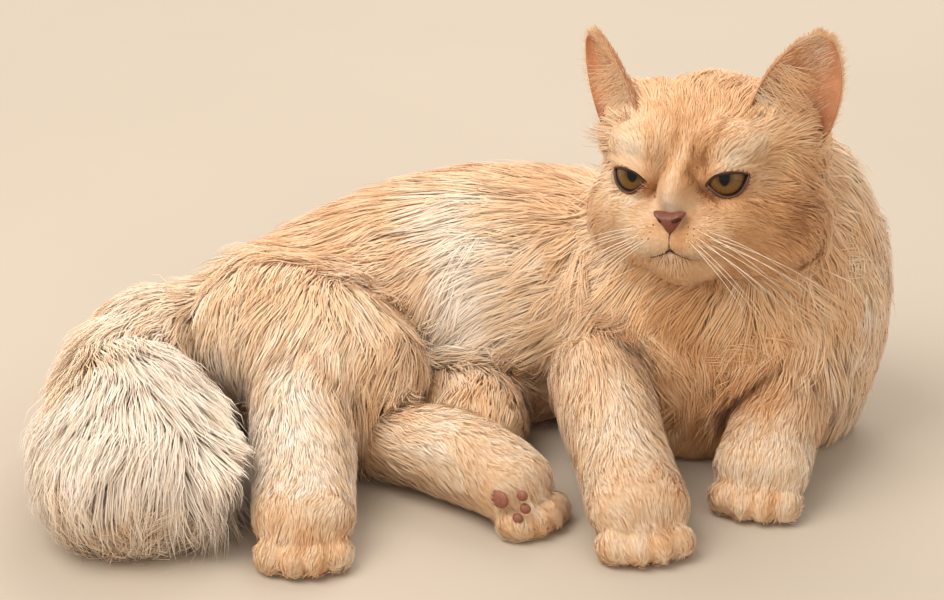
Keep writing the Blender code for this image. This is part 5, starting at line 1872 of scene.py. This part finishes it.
@dataclass
class Trim:
    """Whiskers, brow hairs, whisker spots, claws and the pads of the turned hind foot."""

    def hairs(self, name: str, roots: np.ndarray, aims: np.ndarray, sizes: np.ndarray, thick: float) -> bpy.types.Object:
        """Long single hairs that taper and sag, as one piece.

        Args:
            name: The piece's name.
            roots: Where each leaves the skin, in the head's axes.
            aims: The way each starts.
            sizes: Their lengths.
            thick: Their radius at the root.

        Returns:
            The piece.
        """
        points, faces = [], []
        steps, sides = 12, 4
        for root, aim, size in zip(roots, unit(aims), sizes):
            start = len(points)
            side = unit(np.cross(aim, (0.0, 0.3, 1.0)))
            above = np.cross(side, aim)
            for k in range(steps):
                s = k / (steps - 1)
                place = root + aim * size * s + np.array([0.0, 0.0, -0.22]) * size * s**2.2
                place = place + np.array([0.0, -0.12, 0.0]) * size * s**2
                radius = thick * (1 - s) ** 0.8 + 0.00003
                for q in range(sides):
                    a = 2 * math.pi * q / sides
                    points.append(place + side * radius * math.cos(a) + above * radius * math.sin(a))
            points += [root, place]
            faces += [tuple(start + i for i in face) for face in tube_faces(steps, sides)]
        piece = new_object(name, HEAD.to_world(np.array(points)), np.array(faces))
        return face_out(piece)

    def whiskers(self) -> list[bpy.types.Object]:
        """The whiskers, brow hairs and the dark spots that the whiskers grow from."""
        draw = np.random.default_rng(SEED + 60)
        roots, aims, sizes, spots = [], [], [], []
        for side in (1, -1):
            for row in range(4):
                for column in range(4 + (row in (1, 2))):
                    left = side * (0.0085 + 0.0030 * column + 0.0006 * row)
                    up = -0.0125 - 0.0028 * row - 0.0006 * column
                    place = HEAD.on_face(left, up)
                    spots.append(place)
                    if column in (0, 2) and row != 2:
                        continue
                    roots.append(place)
                    spread = 0.20 * column + draw.uniform(-0.06, 0.06)
                    aims.append((side * (1.0 + spread), 0.55 - 0.12 * column, -0.30 - 0.16 * row + draw.uniform(-0.1, 0.1)))
                    sizes.append(draw.uniform(0.038, 0.056) * (0.8 + 0.08 * column))
        brows, brow_aims, brow_sizes = [], [], []
        for side in (1, -1):
            for k in range(4):
                place = HEAD.on_face(side * (0.020 + 0.0022 * k), 0.0215 + 0.0006 * k)
                brows.append(place)
                brow_aims.append((side * (0.35 + 0.2 * k), 0.75, 0.85))
                brow_sizes.append(draw.uniform(0.016, 0.026))
        long_hairs = self.hairs(
            "whiskers",
            np.array(roots + brows),
            np.array(aims + brow_aims),
            np.array(sizes + brow_sizes),
            0.00014,
        )
        return [long_hairs, self.dots(spots)]

    def dots(self, spots: list[np.ndarray]) -> bpy.types.Object:
        """Small dark spots in rows on the muzzle."""
        pieces = []
        for place in spots:
            bpy.ops.mesh.primitive_ico_sphere_add(subdivisions=2, radius=0.00048, location=HEAD.to_world(place)[0])
            dot = bpy.context.object
            only(dot)
            bpy.ops.object.transform_apply(location=True, rotation=False, scale=False)
            dot.data.shade_smooth()
            pieces.append(dot)
        dots = join(pieces[0], pieces[1:])
        dots.name = dots.data.name = "whisker_spots"
        return dots

    def mouth_line(self) -> bpy.types.Object:
        """The dark line where the lips meet and under the nose: a dark lip edge, with painted shade in the creases."""
        paths = [[HEAD.on_face(*HEAD.mouth(side, s)) for s in np.linspace(0, 0.96, 20)] for side in (1, -1)]
        paths.append([HEAD.on_face(0.0, -0.0125 - 0.00058 * i) for i in range(20)])
        points, faces = [], []
        sides = 6
        for path in paths:
            start = len(points)
            for i, place in enumerate(path):
                along = unit(path[min(i + 1, 19)] - path[max(i - 1, 0)])
                out = unit(np.array([0.0, 1.0, 0.0]) - along * along[1])
                size = 0.00062 * (1 - 0.80 * (i / 19) ** 1.5)
                base = place - out * 0.0006
                for q in range(sides):
                    a = 2 * math.pi * q / sides
                    points.append(base + out * size * math.cos(a) + np.cross(along, out) * size * math.sin(a))
            points += [path[0] - out * 0.0006, path[-1] - out * 0.0006]
            faces += [tuple(start + i for i in face) for face in tube_faces(len(path), sides)]
        return face_out(new_object("mouth_line", HEAD.to_world(np.array(points)), np.array(faces)))

    def claws(self) -> bpy.types.Object:
        """A short curved claw at each toe, mostly hidden in hair."""
        pieces = []
        for form in BODY.values():
            if not form.toe:
                continue
            at = form.frames(np.array([form.length]))
            for i in range(4):
                share = (i + 0.5) / 2 - 1
                place = at["centre"][0] + at["side"][0] * at["size"][0][0] * 0.78 * share
                ahead = form.caps[1] * (0.74 - 0.42 * share**2) + form.toe * 0.80
                place = place + at["tangent"][0] * ahead
                place[2] = form.toe * 1.05
                aim = unit(at["tangent"][0] * (1, 1, 0) + np.array([0, 0, -0.35]))
                bpy.ops.mesh.primitive_cone_add(vertices=12, radius1=0.0010, radius2=0.0001, depth=0.0060, location=(0, 0, 0))
                claw = bpy.context.object
                points = points_of(claw)
                side = unit(np.cross(aim, (0, 0, 1)))
                above = np.cross(side, aim)
                local = points[:, :1] * 0.7 * side + points[:, 1:2] * above + points[:, 2:] * aim
                local = local - np.array([0, 0, 1]) * (np.maximum(points[:, 2:] + 0.001, 0) ** 2 * 60)
                set_points(claw, local + place)
                claw.data.shade_smooth()
                pieces.append(claw)
        claws = join(pieces[0], pieces[1:])
        claws.name = claws.data.name = "claws"
        return claws

    def pads(self) -> bpy.types.Object:
        """The bare pads of the left hind foot, whose sole is turned to the viewer."""
        form = BODY[Region.HIND_LEFT]
        at = form.frames(np.array([form.length]))
        ahead, side = at["tangent"][0], at["side"][0]
        toward = unit(np.array([side[0], side[1], 0.25]))
        if toward[1] > 0:
            toward = unit(np.array([-side[0], -side[1], 0.25]))
        above = unit(np.cross(ahead, toward))
        above = above if above[2] > 0 else -above
        pieces = []
        layout = (
            (0.0070, -0.0010, 0.0052, 0.0040),
            (0.0160, 0.0050, 0.0028, 0.0024),
            (0.0185, -0.0004, 0.0028, 0.0024),
            (0.0170, -0.0060, 0.0027, 0.0023),
        )
        for along, high, wide, tall in layout:
            bpy.ops.mesh.primitive_uv_sphere_add(segments=24, ring_count=16, radius=1.0, location=(0, 0, 0))
            pad = bpy.context.object
            points = points_of(pad)
            out = at["size"][0][0] * math.sqrt(max(1 - (along / form.caps[1]) ** 2 * 0.45, 0.2))
            place = at["centre"][0] + ahead * along + above * high + toward * (out - 0.0026)
            set_points(pad, place + points[:, :1] * ahead * wide + points[:, 1:2] * above * tall + points[:, 2:] * toward * 0.0022)
            face_out(pad)
            pieces.append(pad)
        pads = join(pieces[0], pieces[1:])
        pads.name = pads.data.name = "foot_pads"
        return pads


@dataclass
class Studio:
    """A plain pale floor, soft lights and the camera at the photograph's angle."""

    elevation: float = math.radians(23.0)
    distance: float = 1.2
    target: float = 0.08
    lens: float = 2520.0 * 36.0 / 944.0

    def build(self, shift: np.ndarray) -> None:
        """Sets up the floor, the lights and the camera."""
        self.floor()
        self.light("key", (-0.85, -0.35, 1.60), 1.3, 26.0, (1.0, 0.965, 0.92), shift)
        self.light("fill", (0.9, -1.35, 0.70), 1.2, 3.0, (1.0, 0.94, 0.88), shift)
        self.light("back", (0.3, 1.25, 1.30), 1.1, 14.0, (1.0, 0.97, 0.93), shift)
        world = bpy.data.worlds.new("studio")
        bpy.context.scene.world = world
        world.use_nodes = True
        world.node_tree.nodes["Background"].inputs[0].default_value = (1.0, 0.97, 0.93, 1.0)
        world.node_tree.nodes["Background"].inputs[1].default_value = 0.76
        data = bpy.data.cameras.new("camera")
        camera = bpy.data.objects.new("camera", data)
        bpy.context.scene.collection.objects.link(camera)
        back = -self.distance * math.cos(self.elevation)
        high = self.target + self.distance * math.sin(self.elevation)
        camera.location = Vector((0.0, back, high)) + Vector(shift)
        camera.rotation_euler = (math.radians(90) - self.elevation, 0, 0)
        data.lens = self.lens
        data.sensor_width = 36.0
        data.clip_start = 0.05
        bpy.context.scene.camera = camera
        bpy.context.scene.view_settings.view_transform = "Standard"

    def floor(self) -> None:
        """A large, plain, pale floor."""
        bpy.ops.mesh.primitive_plane_add(size=14.0, location=(0, 0, 0))
        floor = bpy.context.object
        floor.name = "floor"
        Finish.dress(floor, PlainFinish("pale floor", colour(186, 172, 154), colour(190, 176, 158), 0.85, 3.0, 0.0).build())

    def light(
        self,
        name: str,
        place: tuple[float, float, float],
        size: float,
        power: float,
        tint: tuple[float, float, float],
        shift: np.ndarray,
    ) -> None:
        """One soft square light that faces the cat."""
        data = bpy.data.lights.new(name, "AREA")
        data.shape = "SQUARE"
        data.size = size
        data.energy = power
        data.color = tint
        lamp = bpy.data.objects.new(name, data)
        bpy.context.scene.collection.objects.link(lamp)
        lamp.location = Vector(place) + Vector(shift)
        aim = Vector((0.0, 0.0, 0.08)) + Vector(shift) - lamp.location
        lamp.rotation_euler = aim.to_track_quat("-Z", "Y").to_euler()


def main() -> None:
    """Builds the cat's looks in order and puts them on the frame."""
    logging.basicConfig(level=logging.INFO, format="%(name)s: %(message)s")
    low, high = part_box("eye_left")
    shift = np.array((low + high) / 2) - HEAD.to_world(HEAD.eye(1))[0]
    Studio().build(shift)
    markings_and_shade = MarkingsAndShade()
    skin = Skin().build(markings_and_shade)
    log.info("skin: %d faces", len(skin.data.polygons))
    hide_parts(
        "head", "neck_ruff", "chest", "torso", "hips", "tail_root", "tail_middle", "tail_plume",
        "foreleg_right", "forepaw_right", "foreleg_left", "forepaw_left", "thigh_right", "hind_leg_right",
        "hind_paw_right", "thigh_left", "hind_leg_left", "hind_paw_left",
    )
    group = HairColour().build()
    Finish.dress(skin, SkinFinish().build(group))
    ground = Ground(skin)
    log.info("ground sorted")
    fur = FurFinish().build(group)
    scale = 1.0
    coats = Fur(ground, markings_and_shade, scale).build()
    ears = Ears()
    shells = ears.build()
    coats += ears.hair(Coat(ground, markings_and_shade))
    for coat in coats:
        Finish.dress(coat, fur)
    leather = EarFinish().build()
    for shell in shells:
        Finish.dress(shell, leather)
    eyes = Eyes().build(shift)
    nose = Nose().build()
    Finish.dress(nose, PlainFinish("nose leather", colour(112, 62, 44), colour(136, 78, 58), 0.45, 1400.0, 0.00025, 0.10).build())
    trim = Trim()
    whiskers, dots = trim.whiskers()
    line = trim.mouth_line()
    claws = trim.claws()
    pads = trim.pads()
    Finish.dress(whiskers, PlainFinish("whisker", colour(244, 226, 200), colour(250, 238, 220), 0.35).build())
    rim = PlainFinish("dark rim", colour(44, 24, 15), colour(62, 34, 22), 0.55, 900.0, 0.0001, 0.0).build()
    # Dots and lid rims are dark in colour; the mouth line is partly dark lip and partly painted shade in its creases.
    for piece in (dots, line, *eyes[1::2]):
        Finish.dress(piece, rim)
    Finish.dress(claws, PlainFinish("claw", colour(232, 206, 176), colour(246, 230, 208), 0.3).build())
    Finish.dress(pads, PlainFinish("pad leather", colour(128, 74, 54), colour(154, 96, 72), 0.55, 900.0, 0.0003).build())
    pieces = [skin, *coats, *shells, *eyes, nose, whiskers, dots, line, claws, pads]
    for piece in pieces:
        set_points(piece, points_of(piece) + shift)
        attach(piece, "root")
    log.info("%d pieces, %d faces", len(pieces), sum(len(piece.data.polygons) for piece in pieces))


if __name__ == "__main__":
    main()
